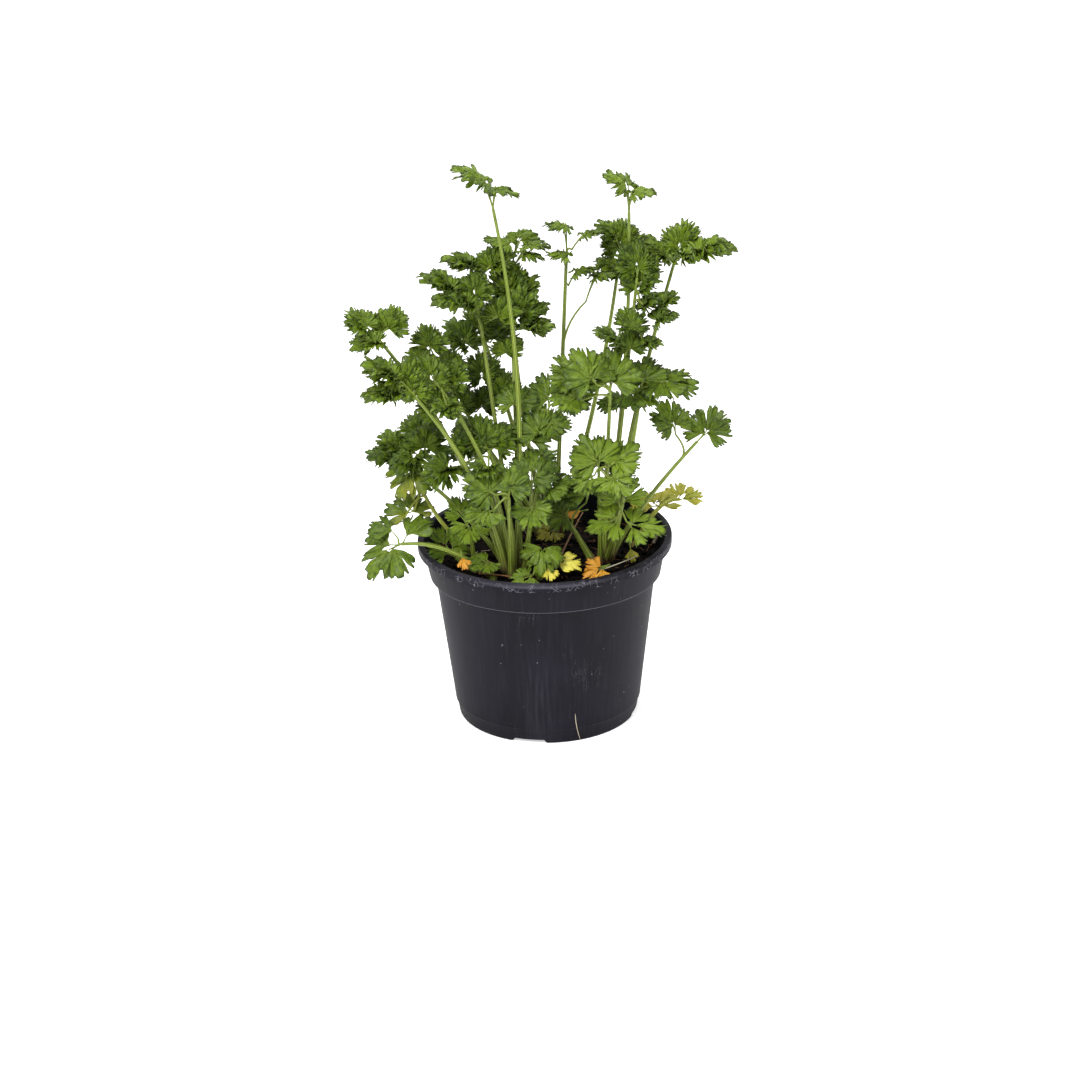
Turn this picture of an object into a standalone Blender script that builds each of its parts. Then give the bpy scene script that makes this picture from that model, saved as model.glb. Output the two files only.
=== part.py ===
"""Curly parsley growing in a round nursery pot.

The pot, the potting soil, the root crowns, the leaf stalks, the leaf blades, the small whole
leaves near the soil and two shed leaflets are separate solids. Metres, +Z up. The origin is on
the pot's axis, on the surface that it stands on, and -Y is the front."""

import math

import bpy
from mathutils import Vector

MM = 0.001
GAP = 0.3 * MM  # between pieces that touch

# Pot
POT_HEIGHT = 97 * MM
RIM_RADIUS = 65 * MM
WALL = 1.0 * MM
LIP_DROP = 5.0 * MM  # height of the skirt that hangs from the rim
LIP_REACH = 2.6 * MM  # from the collar's outer face to the skirt's outer face
COLLAR_FOOT = 76.6 * MM  # height of the ledge under the collar
COLLAR_FOOT_RADIUS = 59.3 * MM
LEDGE = 2.9 * MM
FOOT_TOP = 8.2 * MM
FOOT_TOP_RADIUS = 48.5 * MM
FOOT_STEP = 0.4 * MM
BASE_RADIUS = 46.7 * MM
FLOOR_UNDERSIDE = 3.0 * MM
FLOOR = 1.2 * MM
# The thin rim isn't level: how much it rises for each metre to +X and to +Y, and how much it sinks
RIM_SLOPE = (0.010, 0.035)
RIM_SINK = 1.0 * MM
POT_STEPS = 36

# Drainage: shallow arches in the foot ring, and round holes in the floor
ARCHES = 4
ARCH_ANGLE = math.radians(21)
ARCH_HEIGHT = 2.0 * MM
FIRST_ARCH = math.radians(-102.6)
HOLES = 8
HOLE_RADIUS = 3.4 * MM
HOLE_CIRCLE = 35 * MM

# Soil
SOIL_EDGE = 84.4 * MM  # height of the soil's top at the wall
SOIL_CROWN = 1.1 * MM  # how much higher it is in the middle
SOIL_LUMP = 0.5 * MM
SOIL_CLEARANCE = 0.35 * MM
SOIL_STEPS = 24

# Root crowns: each a tapering root under a low, round head
CROWN_TOP = 87.2 * MM
CROWN_RADIUS = 9.0 * MM
ROOT_TIP = 38 * MM
ROOT_SPREAD = 1.12  # socket in the soil, as a multiple of the root's radius
CROWN_STEPS = 12
CROWNS = {"left": (-14, -29), "right": (28, -9), "back": (3, 23)}

# Leaves
STALK_RADIUS = 1.35 * MM
STALK_TIP = 0.62  # radius at the blade, as a share of STALK_RADIUS
BRANCH_RADIUS = 0.6 * MM
SPRAY_THICKNESS = 0.8 * MM
SPRAY_DROOP = 0.10
# A spray is the group of three leaflets on one node of a leaf. Half of its outline, from the
# back of its node to its tip: angle from its heading in degrees, and distance from its node as
# a share of its length.
SPRAY_OUTLINE = (
    (150, 0.14), (86, 0.68), (66, 0.78), (47, 0.72), (32, 0.34), (18, 0.93), (0, 1.0),
)

# Each leaf: its foot on the soil in mm, how far its stalk bows off the straight line in mm, and
# its sprays. A spray is x, y, z of its node in mm, the heading and pitch that it points in
# degrees, its length in mm, and for a side spray where it leaves the stalk, from 0 to 1.
TALL_LEAVES = {
    "01": ((-15.6, -26.2), (8, -2, 0), [
        (-24, 12, 274, 180, 30, 19),
        (-21, 10, 271, 0, -10, 13, 0.965)]),
    "02": ((1.4, 25.8), (-5, 10, 0), [
        (-14, 34, 239, 165, 18, 13),
        (-10, 40, 239, 60, 25, 13, 0.965),
        (-6, 33, 238, 0, 5, 13, 0.94),
        (-8, 28, 235, 20, -10, 12, 0.92)]),
    "03": ((-14, -22.6), (0, -4, 0), [
        (-33, 26, 230, 180, 12, 15),
        (-24, 28, 229, 60, 35, 14, 0.955),
        (-43, 4, 224, 178, 24, 16, 0.8),
        (-31, 8, 220, 110, 35, 14, 0.84),
        (-35, -4, 218, 185, 5, 17, 0.78),
        (-21, 10, 208, 70, 40, 13, 0.81)]),
    "04": ((-12.4, -26.2), (0, -3, 0), [
        (-14, 26, 215, 100, 64, 15),
        (-10, 25, 212, 20, 45, 14, 0.94),
        (-11, 14, 207, 60, 60, 15, 0.9),
        (-6, 14, 201, -10, 0, 13, 0.87),
        (-6, 18, 206, 20, 25, 12, 0.92),
        (-17, 12, 189, 60, 45, 11, 0.8)]),
    "05": ((-20.4, -29), (7, 2, 3), [
        (-84, -12, 210, 160, 36, 13),
        (-74, -6, 207, 60, 46, 13, 0.955),
        (-79, -16, 203, 188, -4, 13, 0.93)]),
    "06": ((-2.5, 26.2), (2, 2, 0), [
        (-31, 40, 195, 80, 55, 13),
        (-38, 34, 189, 140, 45, 14, 0.94),
        (-24, 46, 187, 90, 60, 13, 0.91),
        (-21, 47, 180, 20, 15, 12, 0.89),
        (-30, 30, 171, 100, 50, 14, 0.82),
        (-20, 26, 164, 70, 45, 13, 0.78)]),
    "07": ((-19.5, -32.2), (8, -1, 4), [
        (-71, -26, 189, 175, 15, 16),
        (-71, -31, 181, 190, -5, 16, 0.95),
        (-66, -25, 184, 85, 45, 10, 0.965),
        (-61, -27, 180, 100, 40, 8, 0.9)]),
    "08": ((-17.2, -29), (7, -2, 3), [
        (-52, -17, 183, 125, 45, 12),
        (-45, -13, 181, 60, 50, 13, 0.94),
        (-46, -28, 174, -100, -20, 11, 0.92),
        (-50, -22, 169, 95, 45, 11, 0.85)]),
    "09": ((-19.5, -25.8), (5, -2, 2), [
        (-75, 2, 138, 183, 8, 14),
        (-72, 8, 141, 150, 25, 13, 0.93),
        (-62, 13, 147, 100, 35, 14, 0.86),
        (-65, -8, 142, -120, -30, 13, 0.82),
        (-59, -4, 146, 80, 25, 14, 0.8)]),
    "10": ((29.6, -6.2), (5, 7, 0), [
        (45, 24, 268, 145, 36, 14),
        (48, 21, 263, 30, 6, 13, 0.955)]),
    "11": ((6.2, 23), (0, 2, 0), [
        (15, 32, 247, 170, 15, 12),
        (22, 30, 243, 5, 16, 11, 0.95),
        (14, 24, 234, 175, 14, 11, 0.86),
        (18, 24, 226, 0, 12, 12, 0.8),
        (27, 23, 223, 5, 14, 11, 0.6)]),
    "12": ((8.5, 26.2), (4, 4, 0), [
        (42, 42, 235, 90, 50, 14),
        (40, 42, 240, 145, 30, 12, 0.975),
        (48, 46, 234, 20, 18, 12, 0.96),
        (41, 36, 222, 168, 28, 10, 0.92)]),
    "13": ((31.2, -9), (0, -2, 0), [
        (49, 12, 230, 95, 55, 12),
        (49, 10, 222, 60, 30, 14, 0.955),
        (51, 4, 213, 10, 20, 12, 0.92),
        (61, -1, 215, 20, 35, 9, 0.9),
        (57, -3, 208, 0, 5, 11, 0.88),
        (45, -8, 205, 110, 45, 11, 0.87),
        (36, -13, 201, 165, 20, 11, 0.85),
        (51, -8, 197, -10, 5, 9, 0.83),
        (44, -4, 194, 80, 40, 11, 0.8)]),
    "14": ((33.5, -5.8), (-3, 1, 0), [
        (70, 24, 237, 70, 45, 15),
        (79, 14, 239, 5, -4, 18, 0.945),
        (63, 19, 234, 150, 25, 13, 0.95),
        (70, 12, 236, -40, 0, 11, 0.93)]),
    "15": ((29.6, -11.8), (0, 3, 0), [
        (34, -16, 180, 80, 50, 18),
        (25, -20, 183, 140, 42, 18, 0.92),
        (17, -22, 175, 185, -5, 14, 0.89),
        (16, -14, 182, 140, 40, 15, 0.94)]),
    "16": ((33.5, -12.2), (1, 2, 0), [
        (50, -4, 177, 60, 45, 9),
        (58, -5, 177, -8, 0, 18, 0.93),
        (44, -8, 172, -30, -10, 15, 0.92),
        (39, -6, 168, 170, -5, 10, 0.88)]),
    "17": ((34.4, -9), (-5, 0, -2), [
        (83, 12, 144, 60, 40, 16),
        (67, 10, 149, 130, 45, 14, 0.8)]),
}
WHOLE_LEAVES = {
    "18": ((-17.2, -23.5), (3, -1, 0), [
        (-55, 5, 195, 95, 50, 12),
        (-58, -1, 188, 165, 32, 11, 0.93),
        (-47, 8, 182, 60, 45, 12, 0.92)]),
    "19": ((-10.8, -23.5), (0, -3, 0), [
        (4, -3, 168, 105, 50, 15),
        (13, 0, 168, 15, 20, 15, 0.94),
        (4, -11, 158, -10, -5, 12, 0.86),
        (-1, -13, 154, 100, 55, 13, 0.84),
        (-13, -6, 167, 85, 45, 13, 0.9),
        (-6, -11, 149, 85, 45, 14, 0.78)]),
    "20": ((-3.4, 23), (0, -2, 0), [
        (-41, 20, 160, 130, 40, 14),
        (-31, 25, 157, 60, 45, 13, 0.9),
        (-36, 10, 149, -90, -20, 11, 0.85)]),
    "21": ((-15.6, -31.8), (4, -2, 0), [
        (-29, -17, 152, 120, 50, 12),
        (-23, -17, 149, 60, 40, 13, 0.92),
        (-27, -30, 143, -110, -15, 11, 0.88),
        (-36, -20, 150, 110, 45, 12, 0.93),
        (-47, -24, 141, -140, -25, 15, 0.84)]),
    "22": ((-27, -20), (-4, 4, -6), [
        (-65, -11, 136, -140, -45, 17),
        (-67, -10, 112, 110, 45, 15, 0.8),
        (-74, -12, 108, 178, -10, 14, 0.76)]),
    "23": ((-27, -33), (0, 0, 7), [
        (-75, -34, 104, 205, -35, 20),
        (-69, -32, 107, 35, 40, 17, 0.9),
        (-74, -32, 110, 165, 30, 14, 0.95)]),
    "24": ((-17.2, -34.5), (0, -2, 0), [
        (-17, -38, 134, 60, 40, 14),
        (-26, -42, 134, 155, 30, 16, 0.92),
        (-27, -50, 127, 205, -15, 14, 0.86)]),
    "25": ((-10.8, -29), (1, -1, 0), [
        (-6, -25, 134, 80, 45, 13),
        (2, -25, 130, 10, 15, 14, 0.9),
        (-6, -37, 123, -75, -25, 13, 0.84)]),
    "26": ((28, -15.4), (0, -3, 0), [
        (27, -30, 144, 130, 45, 17),
        (35, -28, 143, 30, 25, 16, 0.9),
        (23, -36, 138, -140, -25, 12, 0.92),
        (33, -38, 138, -40, -25, 14, 0.9)]),
    "27": ((23, -15), (0, 0, 0), [
        (10, -13, 111, 165, 20, 15),
        (15, -17, 123, 150, 25, 13, 0.84),
        (22, -20, 124, 105, 20, 13, 0.62)]),
    "28": ((31.2, -14.5), (0, -4, 0), [
        (38, -35, 124, 90, 50, 16),
        (35, -40, 117, 190, -10, 15, 0.88),
        (42, -40, 114, -5, -5, 17, 0.86)]),
    "29": ((47, 9), (0, 0, 7), [
        (71, 24, 104, 80, 20, 15),
        (58, 17, 103, 100, 15, 16, 0.6)]),
    "30": ((-38, -21), (0, 0, 0), [
        (-48, -24, 96, 120, 40, 11)]),
    "31": ((-35, -24), (0, 0, 0), [
        (-37, -30, 113, -95, -30, 13),
        (-40, -24, 115, 115, 40, 12, 0.85)]),
    "32": ((-26, -37), (0, 0, 0), [
        (-28, -37, 96, -140, -5, 11)]),
    "33": ((-3, -37), (0, 0, 0), [
        (-1, -40, 104, -100, -38, 15),
        (-8, -48, 97, -150, -6, 11, 0.45)]),
    "34": ((-0.2, 28.5), (0, 3, 0), [
        (-34, 48, 135, 125, 20, 15),
        (-26, 52, 132, 60, 15, 13, 0.88),
        (-40, 44, 128, 185, -5, 13, 0.86)]),
    "35": ((6.2, 28.5), (0, 3, 0), [
        (30, 49, 119, 55, 20, 15),
        (24, 52, 116, 120, 10, 12, 0.88),
        (36, 43, 114, 0, 0, 12, 0.86)]),
    "36": ((3, 29.4), (0, 3, 0), [
        (-2, 49, 120, 95, 5, 14)]),
}
# Shed leaflets lying in the pot: x, y, z in mm, heading, pitch, length
SHED_LEAFLETS = {
    "yellow": (8, -38, 93, 0, -8, 13),
    "orange": (29, -41, 92, 195, -15, 12),
}

LEAF_GREEN = (0.075, 0.21, 0.022)
STALK_GREEN = (0.23, 0.36, 0.06)
POT_BLACK = (0.028, 0.027, 0.037)
SOIL_BROWN = (0.016, 0.010, 0.007)
ROOT_CREAM = (0.45, 0.38, 0.22)
LEAF_YELLOW = (0.72, 0.62, 0.07)
LEAF_ORANGE = (0.70, 0.30, 0.04)


def clear_scene():
    for obj in list(bpy.data.objects):
        bpy.data.objects.remove(obj)


def finish_material(name, colour, roughness):
    """A Principled material, made once for each name."""
    material = bpy.data.materials.get(name)
    if material is None:
        material = bpy.data.materials.new(name)
        material.use_nodes = True
        shader = material.node_tree.nodes["Principled BSDF"]
        shader.inputs["Base Color"].default_value = (*colour, 1)
        shader.inputs["Roughness"].default_value = roughness
    return material


def add_object(name, points, faces, material=None, helper=False):
    mesh = bpy.data.meshes.new(name)
    mesh.from_pydata([tuple(p) for p in points], [], faces)
    mesh.validate()
    obj = bpy.data.objects.new(name, mesh)
    bpy.context.scene.collection.objects.link(obj)
    if material:
        mesh.materials.append(material)
    if helper:
        obj.hide_render = True
        obj.display_type = "WIRE"
    return obj


def boolean(obj, helpers, operation):
    """Joins helpers to obj, or cuts them from it, in one step."""
    group = bpy.data.collections.new(obj.name + "_" + operation.lower())
    for helper in helpers:
        group.objects.link(helper)
    modifier = obj.modifiers.new(operation.title(), "BOOLEAN")
    modifier.operand_type = "COLLECTION"
    modifier.collection = group
    modifier.operation = operation
    modifier.solver = "EXACT"


def turned(profile, steps, centre=(0, 0), height_at=None):
    """Points and faces of a profile turned about a vertical axis.

    The profile runs from the axis, round the outside in its own order, and back to the axis."""
    rings = profile[1:-1]
    points = [(centre[0], centre[1], profile[0][1])]
    for radius, z in rings:
        for i in range(steps):
            angle = 2 * math.pi * i / steps
            x = centre[0] + radius * math.cos(angle)
            y = centre[1] + radius * math.sin(angle)
            points.append((x, y, height_at(x, y, z) if height_at else z))
    top = (centre[0], centre[1], profile[-1][1])
    points.append((*top[:2], height_at(*top)) if height_at else top)
    faces = []
    last = len(points) - 1
    for i in range(steps):
        j = (i + 1) % steps
        faces.append((0, 1 + j, 1 + i))
        for k in range(len(rings) - 1):
            low, high = 1 + k * steps, 1 + (k + 1) * steps
            faces += [(low + i, low + j, high + j), (low + i, high + j, high + i)]
        high = 1 + (len(rings) - 1) * steps
        faces.append((high + i, high + j, last))
    return points, faces


def wall_radius(z):
    """The outer radius of the pot's wall at height z, between the foot and the collar."""
    share = (z - FOOT_TOP) / (COLLAR_FOOT - FOOT_TOP)
    top = COLLAR_FOOT_RADIUS - LEDGE
    return FOOT_TOP_RADIUS + share * (top - FOOT_TOP_RADIUS)


def pot_profile():
    collar_top = RIM_RADIUS - LIP_REACH
    lip_low = POT_HEIGHT - LIP_DROP
    return [
        (0, FLOOR_UNDERSIDE),
        (BASE_RADIUS - WALL + 0.4 * MM, FLOOR_UNDERSIDE),
        (BASE_RADIUS - WALL, 0),
        (BASE_RADIUS, 0),
        (FOOT_TOP_RADIUS - FOOT_STEP, FOOT_TOP - 0.3 * MM),
        (FOOT_TOP_RADIUS, FOOT_TOP),
        (wall_radius(COLLAR_FOOT), COLLAR_FOOT - 0.3 * MM),
        (COLLAR_FOOT_RADIUS, COLLAR_FOOT),
        (collar_top, POT_HEIGHT - 1.3 * MM),
        (RIM_RADIUS - WALL, POT_HEIGHT - 1.3 * MM),
        (RIM_RADIUS - WALL, lip_low),
        (RIM_RADIUS, lip_low),
        (RIM_RADIUS, POT_HEIGHT - 0.8 * MM),
        (RIM_RADIUS - 0.7 * MM, POT_HEIGHT),
        (collar_top + 0.4 * MM, POT_HEIGHT),
        (collar_top - WALL, POT_HEIGHT - 1.6 * MM),
        (COLLAR_FOOT_RADIUS - WALL, COLLAR_FOOT + WALL),
        (wall_radius(COLLAR_FOOT) - WALL, COLLAR_FOOT + 0.7 * WALL),
        (FOOT_TOP_RADIUS - WALL, FOOT_TOP),
        (BASE_RADIUS - 0.2 * MM, FLOOR_UNDERSIDE + FLOOR),
        (0, FLOOR_UNDERSIDE + FLOOR),
    ]


def warped(x, y, z):
    """Height z of the pot after its rim has gone out of level, which the ledge has not."""
    share = max(0, (z - COLLAR_FOOT) / (POT_HEIGHT - COLLAR_FOOT))
    return z + share * (RIM_SLOPE[0] * x + RIM_SLOPE[1] * y - RIM_SINK)


def arch_cutter(angle):
    """A block across the foot ring, wider outside than inside, that leaves a shallow arch."""
    points = []
    for z in (-2 * MM, ARCH_HEIGHT):
        for radius, turn in ((BASE_RADIUS - 4 * MM, -1), (BASE_RADIUS + 4 * MM, -1),
                             (BASE_RADIUS + 4 * MM, 1), (BASE_RADIUS - 4 * MM, 1)):
            a = angle + turn * ARCH_ANGLE / 2
            points.append((radius * math.cos(a), radius * math.sin(a), z))
    faces = [(0, 3, 2, 1), (4, 5, 6, 7), (0, 1, 5, 4), (1, 2, 6, 5), (2, 3, 7, 6), (3, 0, 4, 7)]
    return add_object("arch_cutter", points, faces, helper=True)


def hole_cutter(angle):
    centre = (HOLE_CIRCLE * math.cos(angle), HOLE_CIRCLE * math.sin(angle))
    low, high = FLOOR_UNDERSIDE - 1 * MM, FLOOR_UNDERSIDE + FLOOR + 1 * MM
    profile = [(0, low), (HOLE_RADIUS, low), (HOLE_RADIUS, high), (0, high)]
    return add_object("hole_cutter", *turned(profile, 10, centre), helper=True)


def build_pot():
    black = finish_material("black_plastic", POT_BLACK, 0.45)
    points, faces = turned(pot_profile(), POT_STEPS, height_at=warped)
    pot = add_object("pot", points, faces, material=black)
    cutters = [arch_cutter(FIRST_ARCH + 2 * math.pi * i / ARCHES) for i in range(ARCHES)]
    cutters += [hole_cutter(FIRST_ARCH + 2 * math.pi * (i + 0.5) / HOLES) for i in range(HOLES)]
    boolean(pot, cutters, "DIFFERENCE")


def soil_top(x, y):
    """Height of the soil: a low mound with a few broad lumps."""
    share = math.hypot(x, y) / RIM_RADIUS
    lumps = math.sin(95 * x + 1.3) * math.cos(120 * y - 0.4) + 0.5 * math.sin(210 * (x + y))
    return SOIL_EDGE + SOIL_CROWN * (1 - share**2) + SOIL_LUMP * lumps


def build_soil():
    """A plug that follows the pot's inner wall, with a socket for each root."""
    def height_at(x, y, z):
        return soil_top(x, y) if z >= SOIL_EDGE - 0.1 * MM else z

    slope = (RIM_RADIUS - LIP_REACH - COLLAR_FOOT_RADIUS) / (POT_HEIGHT - 1.3 * MM - COLLAR_FOOT)
    inset = WALL + SOIL_CLEARANCE
    edge = COLLAR_FOOT_RADIUS + slope * (SOIL_EDGE - COLLAR_FOOT) - inset - 0.2 * MM
    floor_top = FLOOR_UNDERSIDE + FLOOR + GAP
    profile = [
        (0, floor_top),
        (BASE_RADIUS - 1.0 * MM, floor_top),
        (FOOT_TOP_RADIUS - inset, FOOT_TOP),
        (wall_radius(COLLAR_FOOT) - inset, COLLAR_FOOT + 1.2 * MM),
        (COLLAR_FOOT_RADIUS - inset, COLLAR_FOOT + 1.8 * MM),
        (edge, SOIL_EDGE),
        (0.72 * edge, SOIL_EDGE),
        (0.40 * edge, SOIL_EDGE),
        (0, SOIL_EDGE),
    ]
    brown = finish_material("potting_soil", SOIL_BROWN, 0.95)
    points, faces = turned(profile, SOIL_STEPS, height_at=height_at)
    soil = add_object("soil", points, faces, material=brown)
    sockets = []
    for x, y in CROWNS.values():
        root = root_profile(ROOT_SPREAD, CROWN_TOP + 4 * MM)
        place = (x * MM, y * MM)
        sockets.append(add_object("socket_cutter", *turned(root, CROWN_STEPS, place), helper=True))
    boolean(soil, sockets, "DIFFERENCE")


def root_profile(spread=1.0, top=CROWN_TOP):
    """A root that tapers to a blunt tip, under a low head."""
    below = (spread - 1) * 12 * MM
    return [
        (0, ROOT_TIP - below),
        (1.2 * MM * spread + below, ROOT_TIP - 0.5 * below),
        (3.6 * MM * spread, 62 * MM),
        (6.4 * MM * spread, 79 * MM - below),
        (CROWN_RADIUS * spread, 83.5 * MM - below),
        (CROWN_RADIUS * spread, top - 0.8 * MM),
        (CROWN_RADIUS * spread - 1.2 * MM, top),
        (0, top),
    ]


def build_crowns():
    cream = finish_material("root", ROOT_CREAM, 0.8)
    for name, (x, y) in CROWNS.items():
        shape = turned(root_profile(), CROWN_STEPS, (x * MM, y * MM))
        add_object("root_crown_" + name, *shape, material=cream)


def direction(heading, pitch):
    a, p = math.radians(heading), math.radians(pitch)
    return Vector((math.cos(p) * math.cos(a), math.cos(p) * math.sin(a), math.sin(p)))


def foot_point(foot):
    """Where a stalk begins: just above the crown's head, or just above the soil."""
    x, y = foot[0] * MM, foot[1] * MM
    on_crown = any(
        math.hypot(foot[0] - cx, foot[1] - cy) * MM < CROWN_RADIUS for cx, cy in CROWNS.values()
    )
    return Vector((x, y, (CROWN_TOP if on_crown else soil_top(x, y) + 0.5 * MM) + GAP))


def stalk_line(foot, bow, tip):
    """A function from 0 to 1 along a stalk: a straight run that bows to one side."""
    start, end, side = foot_point(foot), Vector(tip[:3]) * MM, Vector(bow) * MM

    def at(t):
        return start.lerp(end, t) + side * (4 * t * (1 - t))

    return at


def tube(points, radii, sides, flat_start=False):
    """Points and faces of a round bar along a line, closed at both ends."""
    count = len(points)
    verts, faces = [], []
    across = None
    for i, point in enumerate(points):
        ahead = points[min(i + 1, count - 1)] - points[max(i - 1, 0)]
        if flat_start and i == 0:
            ahead = Vector((0, 0, 1))
        ahead.normalize()
        if across is None:
            across = ahead.cross(Vector((0.31, 0.95, 0.05))).normalized()
        across = (across - ahead * across.dot(ahead)).normalized()
        other = ahead.cross(across)
        for k in range(sides):
            a = 2 * math.pi * k / sides
            verts.append(point + (across * math.cos(a) + other * math.sin(a)) * radii[i])
    for i in range(count - 1):
        for k in range(sides):
            j = (k + 1) % sides
            faces.append((i * sides + k, i * sides + j, (i + 1) * sides + j, (i + 1) * sides + k))
    faces.append(tuple(reversed(range(sides))))
    faces.append(tuple(range((count - 1) * sides, count * sides)))
    return verts, faces


def stalk_tube(line, start, end, rings):
    """The stretch of a stalk from start to end, thinner towards its tip."""
    shares = [start + (end - start) * i / (rings - 1) for i in range(rings)]
    radii = [STALK_RADIUS * (1 - (1 - STALK_TIP) * share) for share in shares]
    return tube([line(share) for share in shares], radii, 6, flat_start=start == 0)


def spray_outline():
    """The outline of a spray in its own plane, +X ahead, with length 1."""
    right = [(-angle, reach) for angle, reach in SPRAY_OUTLINE]
    left = list(reversed(SPRAY_OUTLINE[:-1]))
    return [
        (reach * math.cos(math.radians(angle)), reach * math.sin(math.radians(angle)))
        for angle, reach in right + left
    ]


def spray_plate(node, heading, pitch, length):
    """Points and faces of a spray as a thin, slightly drooping plate."""
    ahead = direction(heading, pitch)
    left = Vector((-math.sin(math.radians(heading)), math.cos(math.radians(heading)), 0))
    up = ahead.cross(left)
    outline = spray_outline()
    count = len(outline)
    points = []
    for side in (-0.5, 0.5):
        for u, v in outline:
            drop = SPRAY_DROOP * (u * u + v * v)
            points.append(node + (ahead * u + left * v - up * drop) * length
                          + up * side * SPRAY_THICKNESS)
    faces = [tuple(reversed(range(count))), tuple(range(count, 2 * count))]
    for i in range(count):
        j = (i + 1) % count
        faces.append((i, j, count + j, count + i))
    return points, faces


def spray_helpers(line, sprays):
    """The sprays of one leaf, with the branch that carries each side spray."""
    helpers = []
    for spray in sprays:
        node = Vector(spray[:3]) * MM
        heading, pitch, length = spray[3], spray[4], spray[5] * MM
        shape = spray_plate(node, heading, pitch, length)
        helpers.append(add_object("spray", *shape, helper=True))
        if len(spray) > 6:
            start = line(spray[6])
            end = node + (node - start).normalized() * SPRAY_THICKNESS
            branch = tube([start, end], [BRANCH_RADIUS * 1.2, BRANCH_RADIUS], 5)
            helpers.append(add_object("branch", *branch, helper=True))
    return helpers


def build_tall_leaves():
    """Leaves in two pieces: the stalk below its lowest branch, and the blade above it."""
    green = finish_material("leaf_green", LEAF_GREEN, 0.5)
    pale = finish_material("stalk_green", STALK_GREEN, 0.45)
    for name, (foot, bow, sprays) in TALL_LEAVES.items():
        line = stalk_line(foot, bow, sprays[0])
        length = (line(1) - line(0)).length
        cut = min(spray[6] for spray in sprays[1:]) - 2.5 * MM / length
        half_gap = 0.5 * GAP / length
        stalk = stalk_tube(line, 0, cut - half_gap, 6)
        add_object("leaf_stalk_" + name, *stalk, material=pale)
        rachis = stalk_tube(line, cut + half_gap, 1 + SPRAY_THICKNESS / length, 3)
        blade = add_object("leaf_blade_" + name, *rachis, material=green)
        boolean(blade, spray_helpers(line, sprays), "UNION")


def build_whole_leaves():
    green = finish_material("leaf_green", LEAF_GREEN, 0.5)
    for name, (foot, bow, sprays) in WHOLE_LEAVES.items():
        line = stalk_line(foot, bow, sprays[0])
        length = (line(1) - line(0)).length
        stalk = stalk_tube(line, 0, 1 + SPRAY_THICKNESS / length, 6)
        leaf = add_object("leaf_" + name, *stalk, material=green)
        boolean(leaf, spray_helpers(line, sprays), "UNION")


def build_shed_leaflets():
    colours = {"yellow": LEAF_YELLOW, "orange": LEAF_ORANGE}
    for name, (x, y, z, heading, pitch, length) in SHED_LEAFLETS.items():
        shade = finish_material("leaf_" + name, colours[name], 0.6)
        node = Vector((x, y, z)) * MM
        shape = spray_plate(node, heading, pitch, length * MM)
        add_object("shed_leaflet_" + name, *shape, material=shade)


def main():
    clear_scene()
    build_pot()
    build_soil()
    build_crowns()
    build_tall_leaves()
    build_whole_leaves()
    build_shed_leaflets()


main()
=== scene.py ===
# Curly parsley in a black nursery pot: pot, soil with crumbs and fibres, root crowns, 36 leaves and
# a few shed leaflets.
# Places are in millimetres and angles in degrees where they are typed, and metres after that.
import math

import bpy
import numpy as np
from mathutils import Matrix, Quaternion, Vector


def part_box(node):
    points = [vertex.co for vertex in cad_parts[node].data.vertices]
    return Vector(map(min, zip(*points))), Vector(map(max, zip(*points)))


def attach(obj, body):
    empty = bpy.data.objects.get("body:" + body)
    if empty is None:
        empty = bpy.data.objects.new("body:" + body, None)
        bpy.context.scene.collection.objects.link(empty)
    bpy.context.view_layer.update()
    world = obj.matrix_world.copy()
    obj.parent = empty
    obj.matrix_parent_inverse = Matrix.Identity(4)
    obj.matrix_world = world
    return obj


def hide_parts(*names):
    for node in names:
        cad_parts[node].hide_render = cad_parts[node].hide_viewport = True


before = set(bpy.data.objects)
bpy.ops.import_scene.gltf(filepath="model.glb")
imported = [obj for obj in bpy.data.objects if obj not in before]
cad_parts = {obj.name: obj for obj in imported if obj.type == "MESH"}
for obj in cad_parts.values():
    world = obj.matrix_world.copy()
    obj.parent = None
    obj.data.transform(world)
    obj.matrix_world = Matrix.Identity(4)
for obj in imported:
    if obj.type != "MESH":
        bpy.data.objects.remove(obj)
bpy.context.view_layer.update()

mm = 0.001


# Camera, light and floor.
camera = {
    "aimAt": (-2.4, 0, 92.4),  # a little to the left of the rim's centre, and below it
    "distance": 975,
    "elevation": 20.75,
    "roll": 1.34,  # turned clockwise, so the pot leans a little to the left
    "lens": 63.5,
}


def makeCamera():
    e = math.radians(camera["elevation"])
    back = Vector((0, -math.cos(e), math.sin(e)))
    made = bpy.data.objects.new("camera", bpy.data.cameras.new("camera"))
    made.location = Vector(camera["aimAt"]) * mm + back * camera["distance"] * mm
    made.rotation_mode = "QUATERNION"
    roll = Quaternion(back, -math.radians(camera["roll"]))
    made.rotation_quaternion = roll @ (-back).to_track_quat("-Z", "Y")
    made.data.lens = camera["lens"]
    made.data.clip_end = 100
    bpy.context.scene.collection.objects.link(made)
    bpy.context.scene.camera = made


studio = {
    "sky": 0.55,
    "lamps": {  # place in m, size in m, watts
        "key": ((-0.9, -1.3, 1.5), 0.8, 34),
        "fill": ((1.4, -0.9, 0.8), 1.2, 9),
        "top": ((0.1, 0.3, 1.7), 1.0, 24),
    },
    "floorColour": (0.9, 0.9, 0.9),
    "floorGlow": 0.5,
    "floorHalf": 20,  # m
}


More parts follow.
